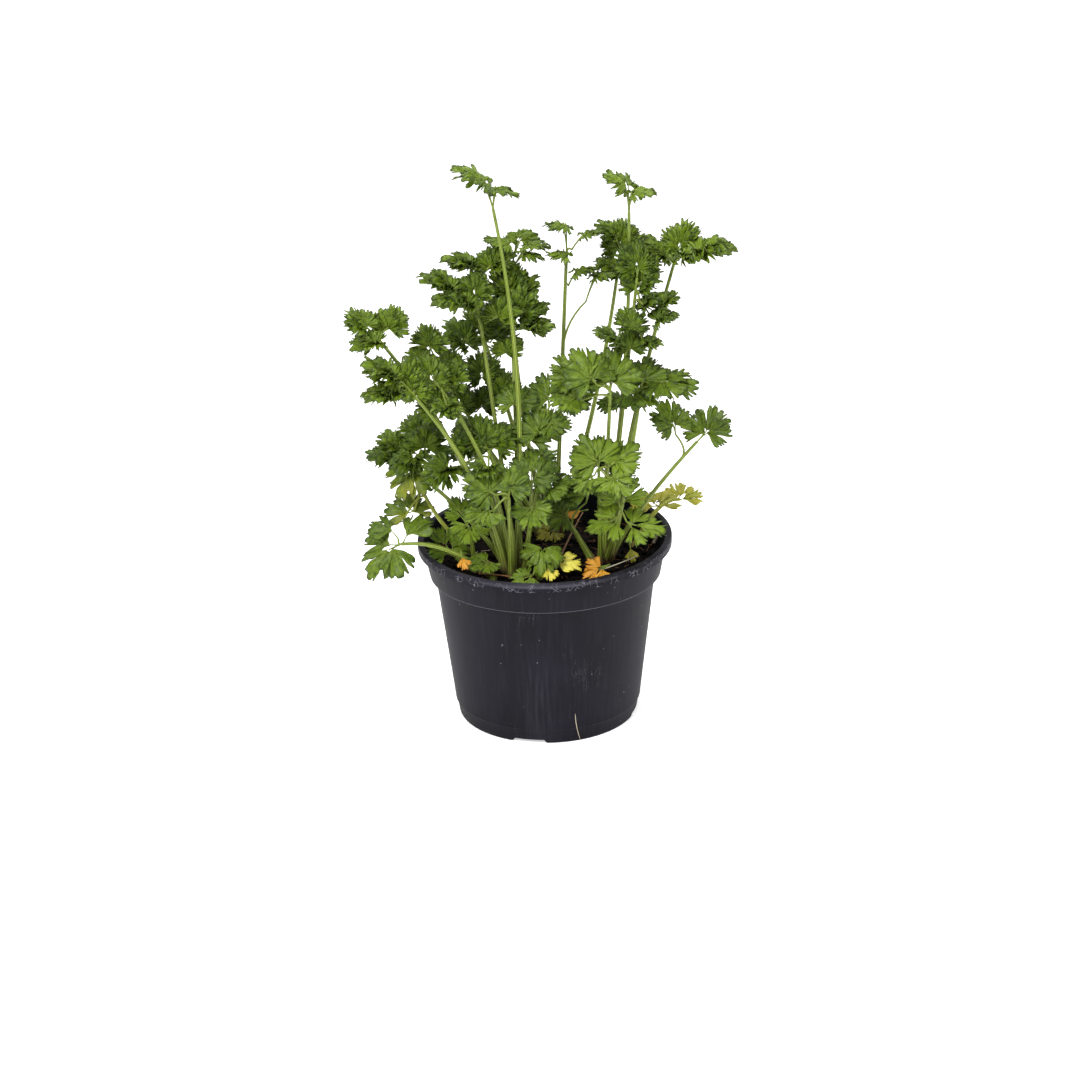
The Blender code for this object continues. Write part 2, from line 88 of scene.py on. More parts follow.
def makeStudio():
    world = bpy.data.worlds.new("studio")
    world.use_nodes = True
    background = world.node_tree.nodes["Background"]
    background.inputs["Color"].default_value = (1, 1, 1, 1)
    background.inputs["Strength"].default_value = studio["sky"]
    bpy.context.scene.world = world
    bpy.context.scene.view_settings.view_transform = "Standard"
    for name, (place, size, watts) in studio["lamps"].items():
        lamp = bpy.data.lights.new(name, "AREA")
        lamp.size = size
        lamp.energy = watts
        made = bpy.data.objects.new(name, lamp)
        made.location = place
        made.rotation_mode = "QUATERNION"
        aim = Vector((0, 0, 0.12)) - Vector(place)
        made.rotation_quaternion = aim.to_track_quat("-Z", "Y")
        bpy.context.scene.collection.objects.link(made)
    mesh = bpy.data.meshes.new("floor")
    half = studio["floorHalf"]
    mesh.from_pydata([(-half, -half, 0), (half, -half, 0), (half, half, 0), (-half, half, 0)], [],
                     [(0, 1, 2, 3)])
    floor = bpy.data.objects.new("floor", mesh)
    bpy.context.scene.collection.objects.link(floor)
    paint = bpy.data.materials.new("palePaper")
    paint.use_nodes = True
    shader = paint.node_tree.nodes["Principled BSDF"]
    shader.inputs["Base Color"].default_value = (*studio["floorColour"], 1)
    shader.inputs["Roughness"].default_value = 0.9
    shader.inputs["Specular IOR Level"].default_value = 0
    shader.inputs["Emission Color"].default_value = (1, 1, 1, 1)
    shader.inputs["Emission Strength"].default_value = studio["floorGlow"]
    mesh.materials.append(paint)


# Helpers for shapes come first, then those for materials.
# Each vector divided by its own length.
def unit(v):
    return v / np.maximum(np.linalg.norm(v, axis=-1, keepdims=True), 1e-12)


# 3t^2 - 2t^3, where t runs from 0 to 1 between low and high.
def smooth(low, high, x):
    t = np.clip((x - low) / (high - low), 0, 1)
    return t * t * (3 - 2 * t)


# The unit vector of a heading (0 is +X, 90 is +Y) and a pitch above level.
def aimed(heading, pitch=0.0):
    h, p = math.radians(heading), math.radians(pitch)
    return np.array([math.cos(p) * math.cos(h), math.cos(p) * math.sin(h), math.sin(p)])


# v turned about a unit axis: v cos a + (axis x v) sin a + axis (axis . v)(1 - cos a).
def turnedAbout(v, axis, angle):
    a = math.radians(angle)
    return v * math.cos(a) + np.cross(axis, v) * math.sin(a) + axis * (axis @ v) * (1 - math.cos(a))


# A quadratic Bezier curve: (1-t)^2 a + 2t(1-t) b + t^2 c.
def bend(a, b, c, count):
    t = np.linspace(0, 1, count)[:, None]
    return (1 - t) ** 2 * a + 2 * t * (1 - t) * b + t**2 * c


# The faces of a grid of rows and columns. With wrap, the last column joins the first.
def gridFaces(rows, columns, wrap=False):
    i = np.arange(rows - 1)[:, None]
    j = np.arange(columns if wrap else columns - 1)[None, :]
    k = (j + 1) % columns
    corners = [i * columns + j, (i + 1) * columns + j, (i + 1) * columns + k, i * columns + k]
    return np.stack([np.broadcast_to(c, (rows - 1, j.size)) for c in corners], -1).reshape(-1, 4)


# A round bar along a path: path + radius (1 + depth cos(ridges a)) (across cos a + other sin a).
# place holds the ridge counter, the share of the way along, and the tint. part holds whether it
# is an underside, whether it is a stalk, and its age.
def bar(path, radius, sides=8, ridges=0, depth=0.0, tint=0.5, age=0.0, along=(0.0, 1.0)):
    count = len(path)
    ahead = unit(np.gradient(path, axis=0))
    chord = np.abs(unit(path[-1] - path[0]))
    across = unit(np.cross(ahead, np.eye(3)[np.argmin(chord)]))
    other = np.cross(ahead, across)
    angle = np.arange(sides) * 2 * np.pi / sides
    reach = np.broadcast_to(radius, count)[:, None] * (1 + depth * np.cos(ridges * angle))[None, :]
    ring = across[:, None] * np.cos(angle)[:, None] + other[:, None] * np.sin(angle)[:, None]
    points = (path[:, None] + ring * reach[..., None]).reshape(-1, 3)
    caps = np.arange(sides)
    faces = [gridFaces(count, sides, True)[:, ::-1], caps[None, ::-1], caps[None] + (count - 1) * sides]
    place = np.empty((count, sides, 3))
    place[..., 0] = angle * max(ridges, 1) / (2 * np.pi)
    place[..., 1] = np.linspace(*along, count)[:, None]
    place[..., 2] = tint
    part = np.broadcast_to([0.0, 1.0, age], (count * sides, 3))
    return {"points": points, "faces": faces, "place": place.reshape(-1, 3), "part": part}


# One object at the origin from a list of shapes, with their marks for the materials.
def makePiece(name, shapes, paint, nodes):
    starts = np.cumsum([0] + [len(shape["points"]) for shape in shapes[:-1]])
    points = np.concatenate([shape["points"] for shape in shapes])
    faces = [f + start for shape, start in zip(shapes, starts) for f in shape["faces"]]
    corners = np.concatenate([f.ravel() for f in faces])
    sizes = np.concatenate([np.full(len(f), f.shape[1]) for f in faces])
    mesh = bpy.data.meshes.new(name)
    mesh.vertices.add(len(points))
    mesh.vertices.foreach_set("co", points.astype(np.float32).ravel())
    mesh.loops.add(len(corners))
    mesh.loops.foreach_set("vertex_index", corners.astype(np.int32))
    mesh.polygons.add(len(sizes))
    mesh.polygons.foreach_set("loop_start", (np.cumsum(sizes) - sizes).astype(np.int32))
    mesh.polygons.foreach_set("use_smooth", np.ones(len(sizes), bool))
    mesh.update(calc_edges=True)
    for mark in ("place", "part"):
        if mark in shapes[0]:
            layer = mesh.attributes.new(mark, "FLOAT_VECTOR", "POINT")
            values = np.concatenate([shape[mark] for shape in shapes])
            layer.data.foreach_set("vector", values.astype(np.float32).ravel())
    made = bpy.data.objects.new(name, mesh)
    bpy.context.scene.collection.objects.link(made)
    mesh.materials.append(paint)
    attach(made, "root")
    if nodes:
        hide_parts(*nodes)
    return made


# A node with its settings and inputs. An input is a number, a colour or another node's socket.
def addNode(tree, kind, inputs, **settings):
    made = tree.nodes.new("ShaderNode" + kind)
    for key, value in settings.items():
        setattr(made, key, value)
    for key, value in inputs.items():
        if isinstance(value, bpy.types.NodeSocket):
            tree.links.new(value, made.inputs[key])
        else:
            made.inputs[key].default_value = value
    return made


def calc(tree, operation, a, b=0.0, c=0.0):
    return addNode(tree, "Math", {0: a, 1: b, 2: c}, operation=operation).outputs[0]


def times(tree, a, b):
    return calc(tree, "MULTIPLY", a, b)


# |a - b|
def apart(tree, a, b):
    return calc(tree, "ABSOLUTE", calc(tree, "SUBTRACT", a, b))


# total + (value - middle) x gain
def sway(tree, total, value, middle, gain):
    return calc(tree, "ADD", total, times(tree, calc(tree, "SUBTRACT", value, middle), gain))


# b where factor is 1 and a where it is 0.
def blendColour(tree, factor, a, b, kind="MIX"):
    a, b = (x if isinstance(x, bpy.types.NodeSocket) else (*x, 1) for x in (a, b))
    made = addNode(tree, "Mix", {0: factor, 6: a, 7: b}, data_type="RGBA", blend_type=kind)
    return made.outputs[2]


# 0 below low and 1 above high, or the other way round where low is the larger.
def ramp(tree, value, low, high):
    made = addNode(tree, "MapRange", {"Value": value, "From Min": low, "From Max": high},
                   interpolation_type="SMOOTHSTEP")
    return made.outputs["Result"]


def noise(tree, where, scale, detail=3.0, roughness=0.5):
    made = addNode(tree, "TexNoise", {"Vector": where, "Scale": scale, "Detail": detail,
                                      "Roughness": roughness})
    return made.outputs["Fac"]


def noiseColour(tree, where, scale):
    return addNode(tree, "TexNoise", {"Vector": where, "Scale": scale, "Detail": 2.0}).outputs["Color"]


def newMaterial(name):
    made = bpy.data.materials.new(name)
    made.use_nodes = True
    tree = made.node_tree
    where = addNode(tree, "TexCoord", {}).outputs["Object"]
    return made, tree, tree.nodes["Principled BSDF"], where


# The pot, in millimetres and degrees. rimSlope: how much its rim rises for each unit of x and y.
pot = {
    "height": 97, "rim": 65, "wall": 1.0, "lipLow": 92.0, "lipReach": 2.6,
    "collarLow": 76.6, "collarFoot": 59.3, "ledge": 2.9,
    "footTop": 8.2, "footRadius": 48.5, "footStep": 0.4, "base": 46.7,
    "floorLow": 3.0, "floorThick": 1.2, "columns": 216,
    "arches": 4, "archWidth": 21, "archHeight": 2.0, "firstArch": -102.6,
    "holes": 8, "holeRadius": 3.4, "holeCircle": 35,
    "rimSlope": (0.010, 0.035), "rimSink": 1.0,
}


# A rounded corner: the points of a quadratic curve from a to c that bends towards b.
def corner(a, b, c, count=5):
    return bend(np.array(a, float), np.array(b, float), np.array(c, float), count)


# The pot's outline as radius and height: up the outside, over the rim, and down the inside.
def potOutline():
    rim, top, wall, lipLow = pot["rim"], pot["height"], pot["wall"], pot["lipLow"]
    base, foot, collar, ledge = pot["base"], pot["footRadius"], pot["collarFoot"], pot["collarLow"]
    under, inside = pot["floorLow"], pot["floorLow"] + pot["floorThick"]
    lipInner, wallTop, step = rim - pot["lipReach"], collar - pot["ledge"], foot - pot["footStep"]
    rise = np.linspace(0, 1, 16)[1:-1, None]
    low = np.array([foot, pot["footTop"] + 0.3])
    high = np.array([wallTop, ledge - 0.9])
    pieces = [
        [(0.01, under), (30, under), (base - 1.3, under)],
        corner((base - wall, 2.9), (base - wall, 2.6), (base - wall, 2.2), 3),
        [(base - wall, z) for z in (1.6, 1.0, 0.5)],
        corner((base - 0.9, 0.15), (base - 0.5, -0.05), (base - 0.1, 0.15)),
        [(base + 0.15 * z, z) for z in (0.6, 1.1, 1.6, 2.0, 2.5, 4.0, 6.0)],
        corner((step - 0.1, 7.4), (step, 7.9), (foot - 0.1, 8.0)),
        corner((foot, 8.15), (foot, 8.3), low, 3),
        low + (high - low) * rise,
        corner(high, (wallTop + 0.1, ledge - 0.3), (wallTop + 0.6, ledge - 0.15)),
        corner((collar - 0.25, ledge - 0.05), (collar, ledge), (collar + 0.05, ledge + 0.3)),
        [(collar + (lipInner - collar) * t, ledge + 18.0 * t) for t in (0.15, 0.35, 0.55, 0.75, 0.9)],
        corner((lipInner - 0.05, top - 1.8), (lipInner, top - 1.3), (lipInner + 0.4, top - 1.3)),
        corner((rim - 1.4, top - 1.3), (rim - wall, top - 1.3), (rim - wall, top - 1.8)),
        [(rim - wall, top - 3.0)],
        corner((rim - wall, lipLow + 0.3), (rim - 0.6, lipLow - 0.1), (rim - 0.05, lipLow + 0.3)),
        [(rim, top - z) for z in (4.2, 3.4, 2.6, 1.8)],
        corner((rim, top - 1.1), (rim, top), (rim - 1.0, top), 7),
        [(rim - 1.8, top)],
        corner((rim - 2.3, top), (lipInner - 0.9, top), (lipInner - 1.05, top - 1.4), 6),
        [(collar - wall + (lipInner - collar) * t, ledge + 1.4 + 17.0 * t)
         for t in (0.8, 0.6, 0.4, 0.2, 0.0)],
        corner((collar - 1.1, ledge + 1.2), (collar - 1.2, ledge + 0.8), (wallTop - 0.9, ledge + 0.6)),
        [(wallTop - wall, ledge - 0.2)],
        low - (wall, 0) + (high - low) * rise[12:0:-4],
        [(foot - wall, pot["footTop"])],
        [(base - 0.3, inside + 0.2), (base - 0.8, inside), (30, inside), (0.01, inside)],
    ]
    return np.concatenate([np.array(x, float) for x in pieces])


# The outline turned about Z: (r cos a, r sin a, z). Near the foot z is at least the arches'
# height, which rises from 0 to its full value within a degree at each side of an arch. Above the
# ledge z gains share x (slope x (x, y) - sink), because the rim isn't level.
def potShell():
    outline = potOutline() * mm
    angle = np.arange(pot["columns"]) * 2 * np.pi / pot["columns"]
    radius = np.repeat(outline[:, :1], pot["columns"], 1)
    height = np.repeat(outline[:, 1:], pot["columns"], 1)
    pitch = 360 / pot["arches"]
    off = np.abs((np.degrees(angle) - pot["firstArch"] + pitch / 2) % pitch - pitch / 2)
    half = pot["archWidth"] / 2
    lift = pot["archHeight"] * mm * (1 - smooth(half - 0.6, half + 0.6, off))
    ring = (radius > 45 * mm) & (height < 2.4 * mm)
    height = np.where(ring, np.maximum(height, lift[None] + 0.05 * (height - lift[None])), height)
    share = np.clip((height / mm - pot["collarLow"]) / (pot["height"] - pot["collarLow"]), 0, None)
    x, y = radius * np.cos(angle), radius * np.sin(angle)
    height += share * (pot["rimSlope"][0] * x + pot["rimSlope"][1] * y - pot["rimSink"] * mm)
    points = np.stack([x, y, height], -1).reshape(-1, 3)
    faces = gridFaces(len(outline), pot["columns"], True)[:, ::-1]
    caps = np.arange(pot["columns"])
    last = (len(outline) - 1) * pot["columns"]
    return {"points": points, "faces": [faces, caps[None, ::-1], caps[None] + last]}


# Straight round cutters through the floor, one for each hole.
def drillHoles(shell):
    for i in range(pot["holes"]):
        a = math.radians(pot["firstArch"] + 360 / pot["holes"] * (i + 0.5))
        centre = (pot["holeCircle"] * math.cos(a) * mm, pot["holeCircle"] * math.sin(a) * mm, 3.6 * mm)
        bpy.ops.mesh.primitive_cylinder_add(vertices=32, radius=pot["holeRadius"] * mm,
                                            depth=4 * mm, location=centre)
        cutter = bpy.context.object
        cut = shell.modifiers.new("hole", "BOOLEAN")
        cut.object = cutter
        cut.operation = "DIFFERENCE"
        graph = bpy.context.evaluated_depsgraph_get()
        mesh = bpy.data.meshes.new_from_object(shell.evaluated_get(graph))
        shell.modifiers.remove(cut)
        shell.data = mesh
        bpy.data.objects.remove(cutter)
    mesh.polygons.foreach_set("use_smooth", np.ones(len(mesh.polygons), bool))
    mesh.set_sharp_from_angle(angle=math.radians(50))


plastic = {
    "dark": (0.0034, 0.0031, 0.0062), "light": (0.0066, 0.0059, 0.0115), "streak": (0.015, 0.0145, 0.021),
    "lime": (0.24, 0.23, 0.27), "lipPaintedSheen": (0.075, 0.072, 0.088), "rimDustAndSheen": (0.06, 0.058, 0.07),
    "edge": (0.22, 0.21, 0.25), "frontPaintedSheen": (0.022, 0.021, 0.030), "mark": (0.2, 0.19, 0.23),
    "specular": 0.12, "roughness": (0.52, 0.64),
}


# Satin black plastic: faint upright streaks, limescale rings on the lip (the thin edges of uneven
# cells, in patches), a painted sheen along the lip's top at the front, dust and a painted highlight on
# the rim's top, a pale line at the ledge that is edge wear and a painted highlight, a painted sheen
# down the front, and a few pale specks and scratches.
# level is the height above the pot's foot with the rim's slope taken out.
def blackPlastic():
    paint, tree, shader, where = newMaterial("blackPlastic")
    x, y, z = addNode(tree, "SeparateXYZ", {"Vector": where}).outputs
    turn = calc(tree, "ARCTAN2", y, x)
    wall = addNode(tree, "CombineXYZ", {0: turn, 1: times(tree, z, 1.2)}).outputs[0]
    streaks = noise(tree, wall, 34.0, 5.0, 0.6)
    cloud = noise(tree, where, 38.0, 4.0)
    colour = blendColour(tree, ramp(tree, cloud, 0.3, 0.75), plastic["dark"], plastic["light"])
    streaky = times(tree, ramp(tree, streaks, 0.45, 0.8), 0.5)
    colour = blendColour(tree, streaky, colour, plastic["streak"])
    slope = calc(tree, "MULTIPLY_ADD", x, pot["rimSlope"][0], -pot["rimSink"] * mm)
    level = calc(tree, "SUBTRACT", z, calc(tree, "MULTIPLY_ADD", y, pot["rimSlope"][1], slope))
    onLip = times(tree, ramp(tree, level, 92.2 * mm, 92.8 * mm), ramp(tree, level, 97.2 * mm, 96.4 * mm))
    lipFlow = addNode(tree, "CombineXYZ", {0: times(tree, turn, 0.065), 1: z}).outputs[0]
    shifted = blendColour(tree, 0.0022, lipFlow, noiseColour(tree, lipFlow, 300.0), "ADD")
    cells = addNode(tree, "TexVoronoi", {"Vector": shifted, "Scale": 340.0, "Randomness": 1.0},
                    feature="DISTANCE_TO_EDGE").outputs["Distance"]
    patch = ramp(tree, noise(tree, lipFlow, 120.0, 2.0), 0.45, 0.54)
    lime = times(tree, ramp(tree, cells, 0.04, 0.008), patch)
    lime = times(tree, lime, times(tree, onLip, ramp(tree, y, 0.02, -0.05)))
    colour = blendColour(tree, times(tree, lime, 0.6), colour, plastic["lime"])
    # Painted sheen: a paler stripe along the lip's top at the front, where a highlight falls.
    lipTop = times(tree, ramp(tree, level, 94.6 * mm, 95.6 * mm), ramp(tree, level, 96.9 * mm, 96.2 * mm))
    lipSheenMask = times(tree, ramp(tree, apart(tree, turn, -1.60), 0.75, 0.15), lipTop)
    colour = blendColour(tree, times(tree, lipSheenMask, 0.55), colour, plastic["lipPaintedSheen"])
    # Dust and a painted highlight: the rim's flat top is painted paler, in clouds.
    rimDustAndSheenMask = times(tree, ramp(tree, level, 96.5 * mm, 97.0 * mm), ramp(tree, cloud, 0.35, 0.7))
    colour = blendColour(tree, times(tree, rimDustAndSheenMask, 0.5), colour, plastic["rimDustAndSheen"])
    fromAxis = calc(tree, "SQRT", calc(tree, "ADD", times(tree, x, x), times(tree, y, y)))
    outside = ramp(tree, fromAxis, 58.6 * mm, 59.0 * mm)
    # Edge wear and a painted highlight: a pale line around the ledge's outer edge.
    edge = times(tree, ramp(tree, apart(tree, z, 76.55 * mm), 0.45 * mm, 0.1 * mm), outside)
    colour = blendColour(tree, times(tree, edge, 0.55), colour, plastic["edge"])
    # Painted sheen: a paler upright stripe down the front of the wall, stronger towards the foot.
    frontSheenMask = times(tree, ramp(tree, apart(tree, turn, -1.68), 0.30, 0.0), ramp(tree, z, 70 * mm, 20 * mm))
    frontSheenMask = times(tree, frontSheenMask, ramp(tree, streaks, 0.2, 1.0))
    colour = blendColour(tree, frontSheenMask, colour, plastic["frontPaintedSheen"])
    specks = times(tree, ramp(tree, noise(tree, where, 520.0, 1.0), 0.77, 0.81), 0.6)
    scratch = ramp(tree, apart(tree, noise(tree, wall, 21.0, 4.0), 0.5), 0.004, 0.001)
    worn = times(tree, scratch, ramp(tree, noise(tree, where, 26.0, 1.0), 0.6, 0.7))
    marks = calc(tree, "MAXIMUM", specks, times(tree, worn, 0.22))
    colour = blendColour(tree, marks, colour, plastic["mark"])
    tree.links.new(colour, shader.inputs["Base Color"])
    low, high = plastic["roughness"]
    rough = addNode(tree, "MapRange", {"Value": cloud, "To Min": low, "To Max": high}).outputs["Result"]
    rough = calc(tree, "MAXIMUM", rough, times(tree, lime, 0.8))
    tree.links.new(rough, shader.inputs["Roughness"])
    shader.inputs["Specular IOR Level"].default_value = plastic["specular"]
    height = calc(tree, "ADD", times(tree, streaks, 0.5), times(tree, lime, 0.6))
    bump = addNode(tree, "Bump", {"Height": height, "Strength": 0.12, "Distance": 0.2 * mm})
    tree.links.new(bump.outputs[0], shader.inputs["Normal"])
    return paint


def makePot():
    shell = makePiece("nurseryPot", [potShell()], blackPlastic(), ["pot"])
    drillHoles(shell)


# The soil, in millimetres, and how many crumbs and threads lie on it.
soil = {
    "edgeHeight": 84.4, "crownRise": 1.1, "lump": 0.5, "edgeRadius": 60.0,
    "rings": 70, "columns": 180, "crumbs": 1500, "fibres": 90, "rootlets": 10,
    "dark": (0.0010, 0.0008, 0.0007), "light": (0.0048, 0.0032, 0.0026), "warm": (0.014, 0.007, 0.0045),
    "fibreDark": (0.05, 0.018, 0.008), "fibreLight": (0.30, 0.14, 0.065), "straw": (0.48, 0.43, 0.32),
}


# Single strands: three points that a curve runs from, towards and to, a radius and a tint.
twigs = {
    "rootOnPot": ((13.5, -47.9, 24), (12.4, -47.2, 12), (15.6, -46.0, 1.5), 0.25, 0.96),
    "barkSliver": ((56.2, 9.5, 85.5), (58.6, 10, 89), (58.8, 9, 92), 0.8, 0.95),
    "strawRight": ((26, -36, 89.0), (34, -35, 91), (46, -27, 93.0), 0.42, 1.0),
    "witheredStalk": ((7.5, -9, 85.5), (13, -3, 96), (20, 12, 102.5), 0.55, 0.86),
    "strawLow": ((-33, -37, 89.5), (-24, -40, 90), (-14, -40, 88), 0.45, 0.75),
}


# Height of the soil: edge + rise (1 - share^2) + broad lumps, as in the CAD.
def soilHeight(x, y):
    share = np.hypot(x, y) / (65 * mm)
    lumps = np.sin(95 * x + 1.3) * np.cos(120 * y - 0.4) + 0.5 * np.sin(210 * (x + y))
    return (soil["edgeHeight"] + soil["crownRise"] * (1 - share**2) + soil["lump"] * lumps) * mm


# Rough ground: a sum of sines in random directions, each octave twice as fine and 0.6 as high.
def roughness(x, y, seed, size, octaves=6):
    rng = np.random.default_rng(seed)
    total = np.zeros_like(x)
    for octave in range(octaves):
        for _ in range(4):
            a, phase = rng.uniform(0, 2 * np.pi, 2)
            k = 2 * np.pi / size * 2**octave
            total += 0.6**octave * np.sin(k * (x * math.cos(a) + y * math.sin(a)) + phase)
    return total / 4


# A disc of soil over radius and angle: soilHeight + 0.9 mm x roughness, less 0.8 mm at its edge.
# A skirt runs down the pot's wall to a plain underside.
def soilBody():
    radius = np.sqrt(np.linspace(0.0004, 1, soil["rings"])) * (soil["edgeRadius"] - 0.1) * mm
    angle = np.arange(soil["columns"]) * 2 * np.pi / soil["columns"]
    x, y = radius[:, None] * np.cos(angle), radius[:, None] * np.sin(angle)
    z = soilHeight(x, y) + roughness(x, y, 3, 16 * mm) * 0.9 * mm
    z -= smooth(56 * mm, 60 * mm, radius)[:, None] * 0.8 * mm
    top = np.stack([x, y, z], -1)
    skirt = np.array([(57.6, 79.0), (54.8, 78.2), (46.9, 8.4), (45.4, 4.6), (0.5, 4.6)]) * mm
    wall = np.stack([skirt[:, :1] * np.cos(angle), skirt[:, :1] * np.sin(angle),
                     np.repeat(skirt[:, 1:], soil["columns"], 1)], -1)
    points = np.concatenate([top, wall])
    faces = gridFaces(len(points), soil["columns"], True)
    caps = np.arange(soil["columns"])
    last = (len(points) - 1) * soil["columns"]
    count = points.shape[0] * points.shape[1]
    return {"points": points.reshape(-1, 3), "faces": [faces, caps[None], caps[None, ::-1] + last],
            "place": np.full((count, 3), 0.5), "part": np.zeros((count, 3))}


# Crumbs: copies of a 20-sided lump, each point moved in or out, stretched, turned and laid on the soil.
def soilCrumbs():
    rng = np.random.default_rng(11)
    golden = (1 + 5**0.5) / 2
    lump = unit(np.array([(-1, golden, 0), (1, golden, 0), (-1, -golden, 0), (1, -golden, 0),
                          (0, -1, golden), (0, 1, golden), (0, -1, -golden), (0, 1, -golden),
                          (golden, 0, -1), (golden, 0, 1), (-golden, 0, -1), (-golden, 0, 1)]))
    sides = np.array([(0, 11, 5), (0, 5, 1), (0, 1, 7), (0, 7, 10), (0, 10, 11), (1, 5, 9),
                      (5, 11, 4), (11, 10, 2), (10, 7, 6), (7, 1, 8), (3, 9, 4), (3, 4, 2),
                      (3, 2, 6), (3, 6, 8), (3, 8, 9), (4, 9, 5), (2, 4, 11), (6, 2, 10),
                      (8, 6, 7), (9, 8, 1)])
    count = soil["crumbs"]
    share, turn = rng.uniform(0, 1, count), rng.uniform(0, 2 * np.pi, count)
    size = (0.5 + 1.9 * rng.uniform(0, 1, count) ** 3) * mm
    radius = np.sqrt(share) * (58.3 * mm - size)
    x, y = radius * np.cos(turn), radius * np.sin(turn)
    z = soilHeight(x, y) + size * rng.uniform(-0.1, 0.6, count)
    body = lump[None] * rng.uniform(0.7, 1.25, (count, 12, 1)) * rng.uniform(0.6, 1.2, (count, 1, 3))
    spin = rng.uniform(0, 2 * np.pi, count)
    c, s = np.cos(spin)[:, None], np.sin(spin)[:, None]
    body = np.stack([body[..., 0] * c - body[..., 1] * s, body[..., 0] * s + body[..., 1] * c,
                     body[..., 2] * 0.75], -1)
    points = body * size[:, None, None] + np.stack([x, y, z], -1)[:, None]
    faces = (np.arange(count)[:, None, None] * 12 + sides).reshape(-1, 3)
    tint = np.repeat(rng.uniform(0, 1, count), 12)
    place = np.stack([tint, tint, tint], -1)
    return {"points": points.reshape(-1, 3), "faces": [faces], "place": place,
            "part": np.zeros((count * 12, 3))}


# Fibres and rootlets: thin bars that lie on the soil, each a short curve with two random bends.
def soilThreads(count, seed, length, radius, spread, tint):
    rng = np.random.default_rng(seed)
    made = []
    for _ in range(count):
        far, turn, lie = rng.uniform(0, 1) ** 0.5 * spread * mm, rng.uniform(0, 6.28), rng.uniform(0, 6.28)
        t = np.linspace(-0.5, 0.5, 7)
        long = rng.uniform(*length) * mm
        side = rng.uniform(-0.5, 0.5, 2)
        u, v = t * long, (side[0] * t**2 + side[1] * t**3 * 2) * long
        x = far * math.cos(turn) + u * math.cos(lie) - v * math.sin(lie)
        y = far * math.sin(turn) + u * math.sin(lie) + v * math.cos(lie)
        inside = np.minimum(1, 58 * mm / np.maximum(np.hypot(x, y), 1e-6))
        x, y = x * inside, y * inside
        z = soilHeight(x, y) + (0.7 + rng.uniform(0, 0.9) + 0.4 * np.sin(9 * t + turn)) * mm
        path = np.stack([x, y, z], -1)
        width = rng.uniform(0.6, 1.2) * radius * mm * (1.05 - 1.2 * t**2)
        made.append(bar(path, width, 5, tint=tint + rng.uniform(-0.15, 0.15)))
    return made


# Damp peat: near-black brown with warmer patches. Fibres are red-brown, and straw pale.
def peat():
    paint, tree, shader, where = newMaterial("peat")
    place = addNode(tree, "Attribute", {}, attribute_name="place").outputs["Vector"]
    part = addNode(tree, "Attribute", {}, attribute_name="part").outputs["Vector"]
    tint = addNode(tree, "SeparateXYZ", {"Vector": place}).outputs[2]
    thread = addNode(tree, "SeparateXYZ", {"Vector": part}).outputs[1]
    fine = noise(tree, where, 900.0, 4.0, 0.65)
    broad = noise(tree, where, 75.0, 3.0)
    colour = blendColour(tree, ramp(tree, fine, 0.35, 0.75), soil["dark"], soil["light"])
    warm = times(tree, ramp(tree, broad, 0.45, 0.65), calc(tree, "ADD", tint, 0.1))
    colour = blendColour(tree, warm, colour, soil["warm"])
    fibre = blendColour(tree, ramp(tree, tint, 0.0, 0.8), soil["fibreDark"], soil["fibreLight"])
    fibre = blendColour(tree, ramp(tree, tint, 0.8, 1.0), fibre, soil["straw"])
    colour = blendColour(tree, thread, colour, fibre)
    tree.links.new(colour, shader.inputs["Base Color"])
    shader.inputs["Roughness"].default_value = 0.85
    shader.inputs["Specular IOR Level"].default_value = 0.08
    bump = addNode(tree, "Bump", {"Height": fine, "Strength": 0.6, "Distance": 0.4 * mm})
    tree.links.new(bump.outputs[0], shader.inputs["Normal"])
    return paint


def makeSoil():
    paint = peat()
    makePiece("soilPlug", [soilBody()], paint, ["soil"])
    makePiece("soilCrumbs", [soilCrumbs()], paint, [])
    threads = soilThreads(soil["fibres"], 5, (3, 12), 0.2, 57, 0.45)
    makePiece("peatFibres", threads, paint, [])
    makePiece("rootlets", soilThreads(soil["rootlets"], 8, (8, 20), 0.16, 50, 0.95), paint, [])
    for name, (*points, radius, tint) in twigs.items():
        path = bend(*(np.array(point, float) * mm for point in points), 12)
        width = radius * mm * np.linspace(1.2, 0.5, 12)
        makePiece(name, [bar(path, width, 6, tint=tint)], paint, [])
    return paint


# The root crowns: the centre of each, and its outline as radius and height.
crowns = {
    "places": {"left": (-14, -29), "right": (28, -9), "back": (3, 23)},
    "profile": [(0.4, 38), (1.3, 42), (3.4, 60), (6.0, 76), (7.4, 81), (8.2, 83.0), (8.4, 84.6),
                (7.8, 85.9), (6.4, 86.7), (4.2, 87.1), (2.0, 87.2), (0.3, 87.2)],
}


